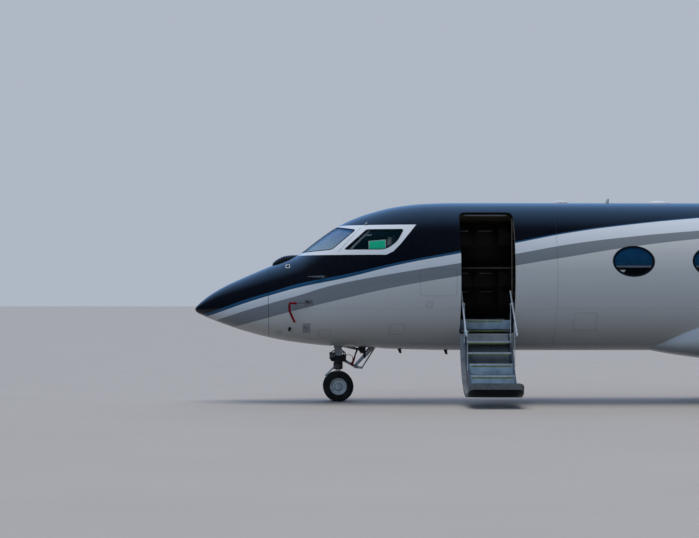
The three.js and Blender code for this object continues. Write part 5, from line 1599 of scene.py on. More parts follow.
def wheel_shapes(centre, radius, width):
    """Tyre, then rim and hub cap, then the bolts round the hub, of one wheel about an axle along Y."""
    half = width / 2
    tyre = lathe(tyre_profile(radius, width), "y", centre, 96)
    rim_line = both_ways([(-0.6, 0.535), (-0.68, 0.56), (-0.74, 0.555), (-0.70, 0.50), (-0.5, 0.47),
                          (-0.3, 0.44), (-0.22, 0.30), (-0.30, 0.26), (-0.42, 0.22), (-0.42, 0.06)])
    hub = lathe(np.array(rim_line) * (half, radius), "y", centre, 72)
    bolts = []
    for angle in 2 * math.pi * np.arange(10) / 10:
        for way in (-1, 1):
            spot = centre + 0.24 * radius * np.array([math.cos(angle), 0, math.sin(angle)])
            outer = way * half * 0.36 + min(0, way) * 0.014
            bolts.append(sleeve(0, 0.014, 0, 0.008, "y", spot + (0, outer, 0), 6))
    cap = ball(centre, 0.17 * radius, (1, half * 0.56 / (0.17 * radius), 1))
    return tyre, [hub, cap], bolts


def wheel_set(name, centre, gear, axle):
    """Two wheels on one axle."""
    radius, width, spread_y = gear
    ends = [centre + np.array([0, side * spread_y / 2, 0]) for side in (-1, 1)]
    tyres, rims, bolts = zip(*[wheel_shapes(end, radius, width) for end in ends])
    piece(f"{name}_tyres", list(tyres), TYRE, name, [name], sharp=30)
    piece(f"{name}_rims", [*sum(rims, []), rod(*ends, axle)], GEAR_WHITE, name, [name], sharp=30)
    piece(f"{name}_bolts", sum(bolts, []), STEEL, name)


NOSE_X, NOSE_WHEEL, NOSE_AXLE = at(2.5), (0.265, 0.17, 0.35), 0.031
MAIN_X, MAIN_Y, MAIN_WHEEL, MAIN_AXLE = at(14.15), 2.18, (0.445, 0.26, 0.48), 0.054


def landing_gear():
    nose_leg()
    nose_fork()
    wheel_set("nose_wheels", np.array([NOSE_X, 0, NOSE_WHEEL[0]]), NOSE_WHEEL, NOSE_AXLE)
    for side, word in SIDES:
        main_leg(side, word)
        centre = np.array([MAIN_X, side * MAIN_Y, MAIN_WHEEL[0]])
        wheel_set(f"main_wheels_{word}", centre, MAIN_WHEEL, MAIN_AXLE)


def collar(centre, radius, low, high, axis="z", lip=0.006):
    """A round band with its edges turned in by a small lip."""
    profile = [(low, radius * 0.6), (low, radius - lip), (low + lip, radius), (high - lip, radius),
               (high, radius - lip), (high, radius * 0.6)]
    return lathe(profile, axis, centre, 36)


# Hoses of the nose gear: radius, then points as distance aft of the leg, y and z
NOSE_HOSES = [
    (0.009, [(-0.04, -0.05, 0.90), (-0.10, -0.075, 0.875), (-0.135, -0.08, 0.79), (-0.12, -0.06, 0.71)]),
    (0.009, [(0.04, -0.05, 0.90), (0.10, -0.07, 0.87), (0.135, -0.06, 0.81), (0.11, -0.04, 0.76)]),
    (0.009, [(0.04, 0.05, 0.93), (0.09, 0.07, 0.86), (0.11, 0.06, 0.77), (0.09, 0.02, 0.72)]),
    (0.005, [(0.12, -0.03, 0.80), (0.19, -0.05, 0.815), (0.255, -0.06, 0.77), (0.25, -0.055, 0.69),
             (0.19, -0.045, 0.665), (0.125, -0.03, 0.70)]),
    (0.007, [(0.06, 0.03, 1.05), (0.2, 0.035, 0.99), (0.34, 0.03, 0.93), (0.42, 0.03, 0.96),
             (0.52, 0.03, 1.03)]),
    (0.006, [(0.36, -0.03, 0.94), (0.40, -0.045, 0.84), (0.47, -0.04, 0.86), (0.56, -0.03, 0.98)]),
]

# The flag's middle line, as station and height
PIN_FLAG_WIDTH = 0.045
PIN_FLAG_LINE = ((2.835, 0.9), (2.805, 0.83), (2.77, 0.72), (2.735, 0.628))


def pin_flag():
    """Flag of the brace's pin, which hangs from the brace and leans forward as it falls, and its cord."""
    turn = 0.5 + 0.35 * np.sin(5 * np.linspace(0, 1, 40))
    shape, length = webbing(PIN_FLAG_LINE, -0.062, turn, PIN_FLAG_WIDTH, 0.0009, 7)
    flag = piece("gear_pin_flag", shape, RED_CLOTH, sharp=40)
    string = [(at(2.835), -0.062, 0.9), (at(2.85), -0.055, 0.925), (at(2.88), -0.035, 0.94)]
    pin = rod((at(2.88), -0.05, 0.94), (at(2.88), 0.02, 0.94), 0.007)
    cord = piece("gear_pin_loop", [tube(curve_through(string, 12), 0.003, 8), pin], STEEL)


def nose_leg():
    """The leg with its cross tube, steering unit, brace, lamps, pipes and flag, and the roof of its bay."""
    x, half = NOSE_X, BAY_HALF - 0.003
    leg = (x, 0, 0)
    elbow, knee, top = (np.array([at(s), 0, z]) for s, z in ((2.79, 0.612), (2.965, 0.803), (3.15, 1.01)))
    struts = [
        lathe([(0.69, 0.02), (0.69, 0.07), (0.72, 0.074), (0.76, 0.066), (0.98, 0.062), (1.1, 0.068),
               (1.23, 0.068), (1.23, 0.02)], "z", leg, 40),
        plate([(2.39, 1.09), (2.575, 1.09), (2.555, 0.80), (2.47, 0.80)], 0.02, -0.072, 0.072),
        rod(elbow, knee, 0.027, 0.03),
        rod(knee, top, 0.042),
        rod(elbow, (x + 0.03, 0, 0.76), 0.022, 0.026),
        rod((x, -half, 1.14), (x, half, 1.14), 0.042),
        collar(leg, 0.078, 0.83, 0.87),
        collar(leg, 0.076, 0.94, 0.965),
        plate([(2.76, 0.64), (2.79, 0.575), (2.935, 0.562), (2.93, 0.60)], 0.012, 0.02, 0.034),
    ]
    piece("nose_leg_struts", struts, GEAR_PAINT, nodes=["nose_leg"], bevel=0.003)
    links = [
        rod((at(2.915), 0.027, 0.578), (at(3.15), 0.027, 0.945), 0.012),
        rod((at(2.79), -0.05, 0.612), (at(2.79), 0.05, 0.612), 0.03),
        rod((at(3.15), -half, 1.01), (at(3.15), half, 1.01), 0.022),
        rod((x + 0.05, 0, 0.975), (at(2.88), 0, 0.90), 0.02),
        rod((x - 0.045, -0.09, 1.0), (x - 0.045, 0.09, 1.0), 0.016),
    ]
    piece("nose_leg_links", links, BRIGHT, bevel=0.002)
    steering = [
        lathe([(0.695, 0.05), (0.695, 0.088), (0.705, 0.094), (0.755, 0.094), (0.765, 0.086), (0.8, 0.07),
               (0.8, 0.05)], "z", leg, 40),
        lathe([(0.0, 0.0), (0.0, 0.034), (0.012, 0.04), (0.118, 0.04), (0.13, 0.034), (0.13, 0.0)], "z",
              (x + 0.098, -0.03, 0.69), 28, closed=False),
        sleeve(0.0, 0.11, 0.0, 0.022, "z", (x - 0.095, -0.045, 0.70), 24),
        boxes([(x + 0.03, -0.085, 0.735, x + 0.14, -0.05, 0.79),
               (x - 0.12, -0.07, 0.765, x - 0.05, 0.0, 0.8)]),
        plate([(2.85, 0.965), (2.99, 0.95), (2.97, 0.83), (2.89, 0.855)], 0.012, -0.03, 0.03),
        collar(knee, 0.052, -0.02, 0.02, "x"),
        plate([(3.0, 1.0), (3.16, 1.06), (3.19, 0.985), (3.09, 0.93)], 0.012, -0.055, 0.055),
    ]
    piece("nose_steering_unit", steering, DARK_TRIM, bevel=0.003)
    lamps, glass = [], []
    bowl = [(0.0, 0.052), (0.0, 0.06), (0.03, 0.061), (0.09, 0.04), (0.095, 0.0), (0.012, 0.0),
            (0.012, 0.045)]
    for side, _ in SIDES:
        centre = np.array([x - 0.15, side * 0.085, 0.8])
        lamps.append(lathe(bowl, "x", centre, 40))
        glass.append(ball(centre + (0.012, 0, 0), 0.052, (0.25, 1, 1)))
    piece("taxi_lamps", lamps, SATIN)
    piece("taxi_lamp_glass", glass, LAMP_GLASS)
    hoses = [tube(curve_through(np.array(route) + leg, 30), radius, 10) for radius, route in NOSE_HOSES]
    piece("nose_leg_pipes", hoses, RUBBER)
    pin_flag()
    bay = [(at(BAY_FRONT) + 0.004, -BAY_HALF + 0.004, 1.27, at(BAY_REAR) - 0.004, BAY_HALF - 0.004, 1.292)]
    piece("nose_bay_roof", boxes(bay), BAY_PAINT)


def nose_fork():
    """The collar that turns, its torque links, and the piston that carries the axle."""
    x, z = NOSE_X, NOSE_WHEEL[0]
    parts = [
        lathe([(0.56, 0.03), (0.56, 0.076), (0.58, 0.083), (0.665, 0.083), (0.688, 0.076), (0.688, 0.03)],
              "z", (x, 0, 0), 40),
        sleeve(-0.06, 0.06, 0.0335, 0.06, "y", (x, 0, z), 40),
        rod((x - 0.05, 0, z), (x - 0.12, 0, z - 0.01), 0.025),
    ]
    piece("nose_fork_collar", parts, STEEL, "nose_fork", ["nose_fork"], bevel=0.003)
    links = []
    for a, b in (((x - 0.07, 0.6), (x - 0.215, 0.455)), ((x - 0.215, 0.455), (x - 0.05, 0.29))):
        for y in (-0.022, 0.022):
            links.append(rod((a[0], y, a[1]), (b[0], y * 0.6, b[1]), 0.014, 0.012))
    links.append(rod((x - 0.215, -0.035, 0.455), (x - 0.215, 0.035, 0.455), 0.018))
    links.append(rod((x - 0.072, -0.04, 0.6), (x - 0.072, 0.04, 0.6), 0.018))
    piece("nose_fork_links", links, GEAR_PAINT, "nose_fork", bevel=0.002)
    piece("nose_piston", rod((x, 0, z + 0.03), (x, 0, 0.6), 0.045), CHROME, "nose_fork")


def main_leg(side, word):
    """A leg with its braces and torque link, its piston and brake pipe, and its door on an arm."""
    x, y = MAIN_X, side * MAIN_Y
    wheel = MAIN_WHEEL[0]
    parts = [
        lathe([(0.64, 0.05), (0.64, 0.09), (0.66, 0.097), (0.74, 0.097), (0.78, 0.09), (1.2, 0.09),
               (1.2, 0.05)], "z", (x, y, 0), 44),
        sleeve(-0.085, 0.085, 0.058, 0.093, "y", (x, y, wheel), 44),
        rod((x, y - side * 0.05, 1.01), (x, y - side * 0.64, 1.22), 0.038),
        rod((x - 0.06, y, 0.85), (x - 0.46, y, 1.25), 0.03),
        rod((x + 0.08, y, 0.68), (x + 0.27, y, 0.56), 0.024),
        rod((x + 0.27, y, 0.56), (x + 0.075, y, wheel), 0.024),
        rod((x + 0.27, y - 0.04, 0.56), (x + 0.27, y + 0.04, 0.56), 0.026),
    ]
    piece(f"main_leg_{word}_strut", parts, GEAR_PAINT, nodes=[f"main_leg_{word}"], bevel=0.004)
    piece(f"main_piston_{word}", rod((x, y, wheel + 0.05), (x, y, 0.68), 0.061), CHROME)
    hose = [(x - 0.1, y, 1.15), (x - 0.125, y + 0.02, 0.9), (x - 0.12, y, 0.7), (x - 0.1, y, 0.52)]
    piece(f"brake_pipe_{word}", tube(curve_through(hose, 24), 0.007, 10), RUBBER)
    out = MAIN_Y + MAIN_WHEEL[2] / 2 + MAIN_WHEEL[1] / 2 + 0.06
    outline = rounded([(x - 0.32, 1.19), (x + 0.32, 1.19), (x + 0.25, 0.56), (x - 0.25, 0.56)], 0.05)
    near, far = sorted((side * out, side * (out + 0.03)))
    piece(f"leg_door_{word}_panel", prism(outline, "y", near, far), WING_PAINT,
          nodes=[f"leg_door_{word}"], bevel=0.006)
    arm = rod((x, side * (MAIN_Y + 0.094), 1.03), (x, side * (out + 0.005), 1.03), 0.02)
    piece(f"leg_door_{word}_arm", arm, STEEL)


# Inside: floors, partitions, entry cabinets, flight deck and seats

COCKPIT_WALL, CABIN_WALL, WALL_THICK = 4.42, 6.23, 0.05
GALLEY_FACE = 0.43

# Strips of the doorway's sill and step: name, two stations, material and edge, then the low y, low z,
# high y and high z of each strip
DOORWAY_TRIMS = [
    ("entry_kick_plates", 4.575, 5.47, BRIGHT, 0.001, [
        (-0.795, 1.2605, -0.625, 1.266), (-0.8035, 1.226, -0.8005, 1.262),
        (-0.626, 1.424, -0.6205, 1.4465), (-0.6205, 1.4403, -0.56, 1.4463)]),
    ("entry_step_riser", 4.575, 5.47, STAIR_PANEL, 0.001, [(-0.6235, 1.268, -0.6205, 1.423)]),
    ("entry_glow_strips", 4.72, 5.32, GLOW_STRIP, 0.0008, [
        (-0.6265, 1.392, -0.6236, 1.412), (-0.8055, 1.232, -0.8036, 1.246)]),
]

# Side view of the instrument panel, its face between the second corner and the third
DESK = [(2.335, 1.705), (2.555, 1.705), (2.478, 2.425), (2.56, 2.47), (2.16, 2.50), (2.155, 2.45)]


def dress_nodes():
    """Materials for the frame's own nodes that stay in view."""
    floors = ("cockpit_floor", "entry_floor", "cabin_floor")
    walls = ("cockpit_bulkhead", "cabin_bulkhead", "aft_bulkhead")
    # The walls take the walnut that is darkened as painted shade
    for names, material in ((floors, CARPET), (walls, SHADED_VENEER)):
        for name in names:
            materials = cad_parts[name].data.materials
            materials.clear()
            materials.append(material)


def entry_room():
    """Cabinets across from the door and aft of it, their doors and pulls, and the doorway's trims."""
    space = inner_space(COCKPIT_WALL, CABIN_WALL)
    front, rear = at(COCKPIT_WALL) + WALL_THICK + 0.002, at(CABIN_WALL) - 0.002
    low, worktop, high = FLOOR_TOP + 0.004, 2.36, 3.12
    base, back, upper, shelf = GALLEY_FACE + 0.02, GALLEY_FACE + 0.30, GALLEY_FACE + 0.04, 2.72
    stepped = [(base, low), (1.3, low), (1.3, high), (upper, high), (upper, shelf), (back, shelf),
               (back, worktop - 0.03), (base, worktop - 0.03)]
    blocks = [prism(stepped, "x", front, rear), boxes([(at(5.56), -1.3, low, rear, -0.42, high)])]
    # The cabinets' near-black walnut is painted shade of the dim entry
    clipped("entry_cabinets", blocks, space, SHADED_VENEER)
    top = boxes([(front, GALLEY_FACE, worktop - 0.03, rear, 1.25, worktop)])
    clipped("entry_worktop", top, space, STONE, bevel=0.006)
    doors, pulls = [], []
    edges = np.linspace(front + 0.02, rear - 0.02, 5)
    for x0, x1 in zip(edges, edges[1:]):
        for z0, z1, y in ((1.50, 1.98, base), (2.0, 2.31, base), (2.75, 3.06, upper)):
            leaf = [(x0 + 0.008, z0), (x1 - 0.008, z0), (x1 - 0.008, z1), (x0 + 0.008, z1)]
            doors.append(prism(rounded(leaf, 0.012), "y", y - 0.018, y - 0.001))
            bends = ((x0 + 0.1, 0.02), (x0 + 0.1, 0.04), (x1 - 0.1, 0.04), (x1 - 0.1, 0.02))
            pulls.append(tube([(x, y - out, z1 - 0.06) for x, out in bends], 0.006, 12))
    piece("entry_cabinet_doors", doors, SHADED_VENEER, bevel=0.003)
    piece("entry_cabinet_pulls", pulls, BRIGHT)
    lamp = boxes([(at(4.66), -0.62, 3.222, at(5.39), -0.58, 3.242)])
    piece("doorway_lamp", lamp, PALE_TRIM, bevel=0.004)
    for name, s0, s1, material, bevel, strips in DOORWAY_TRIMS:
        rows = [(at(s0), y0, z0, at(s1), y1, z1) for y0, z0, y1, z1 in strips]
        piece(name, boxes(rows), material, bevel=bevel)


def flight_deck():
    """Instrument panel with blank displays, glareshield, pedestal, levers, side sticks, overhead panel."""
    space = inner_space(2.0, 3.5)
    parts = [
        plate(DESK, 0.02, -0.755, 0.755),
        boxes([(at(2.345), -0.695, 1.442, at(2.535), 0.695, 1.75)]),
        plate([(2.5, 1.445), (3.345, 1.445), (3.345, 1.995), (2.8, 2.075), (2.5, 2.17)], 0.03, -0.137, 0.137),
    ]
    clipped("instrument_panel_body", parts, space, PANEL_GREY, ["instrument_panel"])
    shield = [(2.135, 2.545), (2.6, 2.505), (2.605, 2.47), (2.56, 2.455), (2.16, 2.50)]
    clipped("glareshield", plate(shield, 0.012, -0.757, 0.757), space, BLACK_LEATHER, bevel=0.008)

    bezels, screens = [], []
    (foot_s, foot_z), (head_s, head_z) = DESK[1:3]
    slope = (head_z - foot_z) / (head_s - foot_s)
    for y, wide in ((-0.56, 0.165), (-0.19, 0.16), (0.19, 0.16), (0.56, 0.165)):
        for inset, depth, store in ((0.0, 0.012, bezels), (0.012, 0.0145, screens)):
            z0, z1, half = 2.13 + inset, 2.40 - inset, wide - inset
            x0, x1 = (at(foot_s) + (z - foot_z) / slope for z in (z0, z1))
            corners = [(x0, y - half, z0), (x1, y - half, z1), (x1, y + half, z1), (x0, y + half, z0)]
            near = np.array([corners])
            store.append(loft(np.concatenate([near - (0.004, 0, 0), near + (depth, 0, 0)])))
    piece("display_bezels", bezels, DARK_TRIM, bevel=0.002)
    piece("display_glass", screens, SCREEN)

    levers, knobs = [], []
    for y, lean in ((-0.035, 0.0), (0.035, 0.0), (-0.105, 0.06), (0.105, -0.05)):
        foot = np.array([at(2.86), y, 2.06])
        top = foot + (lean - 0.02, 0, 0.15)
        levers.append(rod(foot, top, 0.008, 0.006))
        knobs.append(ball(top, 0.022, (1, 1.3, 0.7)))
    for side, _ in SIDES:
        stick = np.array([at(2.86), side * 0.83, 1.98])
        levers.append(rod(stick, stick + (0.01, 0, 0.13), 0.014, 0.011))
        knobs.append(ball(stick + (0.01, 0, 0.16), 0.024, (1, 0.9, 2.1)))
    dial = [(0, 0), (0, 0.013), (0.012, 0.012), (0.014, 0.009), (0.014, 0)]
    for k in range(18):
        x, y = at(2.96) + 0.05 * (k // 3), (-0.085, 0.0, 0.085)[k % 3]
        knobs.append(lathe(dial, "z", (x, y, 2.072 - (x - at(2.8)) * 0.145), 16, closed=False))
    piece("lever_stems", levers, STEEL)
    piece("lever_knobs", knobs, DARK_TRIM)

    middles = [side * 0.93 for side, _ in SIDES]
    consoles = [boxes([(at(2.62), y - 0.16, 1.442, at(3.75), y + 0.2, 1.97)]) for y in middles]
    clipped("side_consoles", consoles, inner_space(2.5, 3.9), PANEL_GREY, bevel=0.008)
    overhead = plate([(2.86, 2.99), (3.5, 3.12), (3.5, 3.3), (2.9, 3.2)], 0.02, -0.26, 0.26)
    clipped("overhead_panel", overhead, inner_space(2.7, 3.6), PANEL_GREY, bevel=0.004)
    switches = []
    for s, y in [(2.96 + 0.07 * i, 0.08 * j) for i in range(7) for j in range(-2, 3)]:
        face = 2.985 + (s - 2.86) * 0.203
        switches.append((at(s), y - 0.018, face - 0.016, at(s) + 0.03, y + 0.018, face + 0.03))
    piece("overhead_switches", boxes(switches), DARK_TRIM, bevel=0.002)


# Padded seats. A pad is a rounded block in its own axes, blown up as cloth, then drawn in along its seams.

PAD_VOXEL, PAD_FRAMES, PAD_SWELL = 0.011, 20, 0.016


def pad_block(size, power, crown):
    """A block whose outline is a superellipse and whose faces rise by crown in the middle."""
    c, s = np.cos(around(56)), np.sin(around(56))
    x, y = np.sign(c) * np.abs(c) ** power, np.sign(s) * np.abs(s) ** power
    v = np.linspace(-math.pi / 2 + 0.08, math.pi / 2 - 0.08, 16)[:, None]
    ring = np.cos(v) ** 0.35
    rise = np.sign(v) * np.abs(np.sin(v)) ** 0.6
    half = np.asarray(size) / 2
    points = np.empty((len(v), len(x), 3))
    points[..., 0] = half[0] * ring * x
    points[..., 1] = half[1] * ring * y
    points[..., 2] = half[2] * rise * (1 + crown * (1 - ring))
    return loft(points)


def blown(shape):
    """The shape remeshed finely and blown up as cloth, no point moving further than the swell allows."""
    obj = mesh_object("pad", shape)
    step = obj.modifiers.new("even", "REMESH")
    step.mode = "VOXEL"
    step.voxel_size = PAD_VOXEL
    apply_modifiers(obj)
    start = rows_of(obj.data.vertices, "co")
    cloth = obj.modifiers.new("cloth", "CLOTH")
    cloth.settings.use_pressure = True
    cloth.settings.uniform_pressure_force = 4.0
    cloth.settings.effector_weights.gravity = 0.0
    cloth.settings.quality = 5
    for frame_number in range(1, PAD_FRAMES + 1):
        bpy.context.scene.frame_set(frame_number)
    apply_modifiers(obj)
    bpy.context.scene.frame_set(1)
    moved_by = rows_of(obj.data.vertices, "co") - start
    size = np.linalg.norm(moved_by, axis=1)[:, None]
    points = start + moved_by * np.minimum(1, PAD_SWELL / np.maximum(size, 1e-9))
    corners = counts_of(obj.data.loops, "vertex_index")
    bpy.data.objects.remove(obj)
    return points, [corners.reshape(-1, 4)]


def sewn(shape, lines, depth=0.007, width=0.012):
    """Pulls the upper and lower faces in along seams at set places of X, each a bell curve of depth."""
    points = shape[0].copy()
    near = np.exp(-((points[:, :1] - np.asarray(lines)) / width) ** 2).sum(1)
    points[:, 2] -= np.sign(points[:, 2]) * depth * np.minimum(near, 1)
    return points, shape[1]


def tilted(shape, lean, place):
    """A shape leant back about Y, then moved."""
    c, s = math.cos(lean), math.sin(lean)
    turn = np.array([[c, 0, s], [0, 1, 0], [-s, 0, c]])
    return shape[0] @ turn.T + np.asarray(place, float), shape[1]


BACK_FOOT, BACK_RUN = np.array([0.33, 0.32]), 0.15


def seat_pads(width, top):
    """Seat pad, back pad and headrest of one seat, its origin on the floor under the middle of the pad."""
    lean = math.atan2(BACK_RUN, top - BACK_FOOT[1])
    up = np.array([math.sin(lean), 0, math.cos(lean)])
    front = np.array([BACK_FOOT[0] - 0.085, 0, BACK_FOOT[1]])
    reach = (top - BACK_FOOT[1]) / math.cos(lean)
    head_height, back_height = 0.17, reach - 0.33
    pan = blown(pad_block((0.40, width - 0.10, 0.10), 0.45, 0.12))
    back = blown(pad_block((back_height, width - 0.10, 0.085), 0.45, 0.10))
    head = blown(pad_block((head_height, width - 0.20, 0.075), 0.6, 0.10))
    seams = np.array([-0.25, 0.0, 0.25]) * back_height
    return [tilted(sewn(pan, [-0.09, 0.03]), 0.0, (-0.045, 0, 0.375)),
            tilted(sewn(back, seams), lean - math.pi / 2, front + up * (0.11 + back_height / 2)),
            tilted(head, lean - math.pi / 2, front + up * (reach - head_height / 2 - 0.02))]


def seat_shell(width, top):
    """Base, tray under the seat pad, back shell and arms of one seat."""
    half = width / 2 - 0.002
    tray = rounded([(-0.255, 0.302), (0.19, 0.302), (0.20, 0.345), (-0.255, 0.335)], 0.012)
    (x, z), head = BACK_FOOT, BACK_FOOT[0] + BACK_RUN
    back = rounded([(x - 0.095, z - 0.01), (x - 0.002, z + 0.005), (head - 0.004, top - 0.005),
                    (head - 0.055, top), (x - 0.04, z + 0.08)], 0.012)
    arm = rounded([(-0.13, 0.565), (0.30, 0.585), (0.30, 0.615), (-0.13, 0.60)], 0.012)
    parts = [
        boxes([(-0.19, -half + 0.03, 0.006, 0.19, half - 0.03, 0.05)]),
        boxes([(-0.12, -half + 0.09, 0.045, 0.14, half - 0.09, 0.305)]),
        prism(tray, "y", -half, half),
        prism(back, "y", -half, half),
    ]
    for side, _ in SIDES:
        parts.append(prism(arm, "y", *sorted((side * (half - 0.04), side * half))))
        parts.append(rod((0.02, side * (half - 0.02), 0.33), (0.02, side * (half - 0.02), 0.58), 0.013))
    return parts


def turned_about(shape, place, facing_aft):
    """A seat's shape put in its place, turned round where it faces aft."""
    flip = np.array([-1.0, -1.0, 1.0]) if facing_aft else np.ones(3)
    return shape[0] * flip + np.asarray(place, float), shape[1]


PILOT_STATION, PILOT_Y, PILOT_BACK = 3.0, 0.49, 1.44
CABIN_Y, CABIN_BACK = 0.7, 1.06
CABIN_SEATS = (7.15, 8.35, 9.75, 10.95, 12.35, 13.55, 14.9)


def seats():
    floor = FLOOR_TOP + 0.006
    pilot_pads, pilot_shell = seat_pads(0.46, PILOT_BACK), seat_shell(0.46, PILOT_BACK)
    cabin_pads, cabin_shell = seat_pads(0.44, CABIN_BACK), seat_shell(0.44, CABIN_BACK)
    for side, word in SIDES:
        spots = [(at(PILOT_STATION), side * PILOT_Y, floor)]
        seat_pieces(f"pilot_seat_{word}", pilot_pads, pilot_shell, spots, [False], FLEECE, PANEL_GREY)
        # Every other cabin seat faces aft, so that they stand in facing pairs
        spots = [(at(s), side * CABIN_Y, floor) for s in CABIN_SEATS]
        aft = [i % 2 == 0 for i in range(len(spots))]
        seat_pieces(f"cabin_seats_{word}", cabin_pads, cabin_shell, spots, aft, LEATHER, LEATHER_TRIM)
        rails = [(at(6.81), y - 0.018, floor - 0.005, at(15.29), y + 0.018, floor + 0.018)
                 for y in (side * CABIN_Y - 0.14, side * CABIN_Y + 0.14)]
        piece(f"seat_tracks_{word}", boxes(rails), SATIN, bevel=0.002)


def seat_pieces(node, pads, parts, spots, facing, cover, hard):
    """The soft and the hard piece of seats at some spots, turned round where facing says so."""
    made = [turned_about(part, spot, aft) for spot, aft in zip(spots, facing) for part in pads]
    soft = piece(f"{node}_pads", made, cover, nodes=[node], sharp=60)
    rigid = [turned_about(part, spot, aft) for spot, aft in zip(spots, facing) for part in parts]
    piece(f"{node}_shells", rigid, hard, nodes=[node], bevel=0.005)


# Small parts on the skin

# Radius of the crown's curve across the fuselage
CROWN_RADIUS = 1.3

def joint_line(outline, side, width=0.0016):
    """A closed hairline along the skin round a panel: a flat band half sunk in the paint."""
    middle = outline.mean(0)
    away = outline - middle
    away /= np.linalg.norm(away, axis=1)[:, None]
    return rim(outline + away * width, outline - away * width, side, 0.0004, -0.002)


def rounded_box(low_s, high_s, low_z, high_z, radius):
    return even(rounded([(low_s, low_z), (high_s, low_z), (high_s, high_z), (low_s, high_z)], radius), 72)


def heads(spots, size, side, out_offset, in_offset, points=6, rings=2):
    """Small round plates on the skin at (station, height) spots."""
    return [patch(ellipse(spot, size, size, points), side, out_offset, in_offset, rings) for spot in spots]


# Access panels on both sides: low and high station, low and high height, corner radius
PANELS = [
    (3.87, 4.49, 1.84, 2.30, 0.05), (3.98, 4.08, 1.64, 1.74, 0.02), (1.42, 1.53, 1.19, 1.25, 0.02),
    (2.15, 2.36, 1.12, 1.26, 0.03), (3.36, 3.62, 1.18, 1.36, 0.03), (6.5, 6.9, 1.25, 1.55, 0.04),
    (16.95, 17.25, 1.5, 1.9, 0.04), (18.2, 18.8, 1.45, 1.85, 0.05), (19.9, 20.4, 1.95, 2.3, 0.05),
    (21.4, 21.8, 2.2, 2.5, 0.04),
]
BAGGAGE_DOOR = (17.35, 18.15, 1.55, 2.2, 0.12)


def panel_lines():
    """Joints and screws of the access panels, and the joint of the baggage door on the port side."""
    for side, word in SIDES:
        rows = PANELS + ([BAGGAGE_DOOR] if side < 0 else [])
        lines = [joint_line(rounded_box(*row), side) for row in rows]
        piece(f"panel_joints_{word}", lines, JOINT_GREY)
        studs = []
        for low_s, high_s, low_z, high_z, _ in PANELS:
            loop = even(rounded_box(low_s + 0.018, high_s - 0.018, low_z + 0.018, high_z - 0.018, 0.008), 20)
            studs += heads(loop, 0.007, side, 0.0005, -0.001)
        piece(f"panel_screws_{word}", studs, JOINT_GREY)


PROBE_STATION, PROBE_Z, PROBE_TIP, PROBE_STAND, PROBE_COVER = 1.98, 1.716, 1.64, 0.095, 1.775

# The ribbon's middle line, as station and fall from the probe
RIBBON_WIDTH = 0.044
RIBBON_LINE = ((1.650, 0.0186), (1.652, 0.11), (1.69, 0.215), (1.742, 0.329))


def nose_fittings():
    """The sensors, probes, plates and vanes of the nose."""
    ribbed_sensor()
    eye = rounded_box(1.585, 1.655, 2.325, 2.385, 0.008)
    for side, word in SIDES:
        piece(f"sensor_frame_{word}", rim(eye, grown_plain(eye, -0.008), side, 0.002, -0.006), WHITE_TRIM)
        piece(f"sensor_eye_{word}", patch(grown_plain(eye, -0.0075), side, 0.001, -0.006), RUBBER)
        for fitting in (air_probe, cone_probe, ice_probe, static_plate, corner_vane):
            fitting(side, word)


def grown_plain(outline, by):
    """An outline grown outwards from its middle by about a distance."""
    outline = np.asarray(outline, float)
    middle = outline.mean(0)
    size = np.abs(outline - middle).max(0)
    return middle + (outline - middle) * (1 + by / size)


# Station, top and half width
SENSOR_LINE = np.array([(1.322, 2.30, 0.045), (1.36, 2.42, 0.085), (1.433, 2.482, 0.108),
                        (1.566, 2.542, 0.112), (1.70, 2.558, 0.10), (1.80, 2.560, 0.075),
                        (1.84, 2.545, 0.03)])


def ribbed_sensor():
    """The dark window on the nose's crown: a half ellipse across, its height following a line, and ribbed."""
    low, high = SENSOR_LINE[0, 0], SENSOR_LINE[-1, 0]
    station = np.linspace(low, high, 130)[:, None]
    top, half = np.moveaxis(smooth_rows(SENSOR_LINE, station[:, 0]), -1, 0)[..., None]
    rib = 1 + 0.035 * np.cos(2 * math.pi * (station - low) / 0.046) * np.clip((station - 1.34) / 0.05, 0, 1)
    angle = np.linspace(0, math.pi, 25)
    base = hull_section(station[:, 0])[:, :1] - 0.07
    y = half * np.cos(angle)
    z = base + (top - base) * rib * np.sin(angle) ** 0.8
    piece("nose_sensor", loft(np.stack([at(station) + 0 * y, y, z], -1)), SENSOR_BLACK, sharp=50)


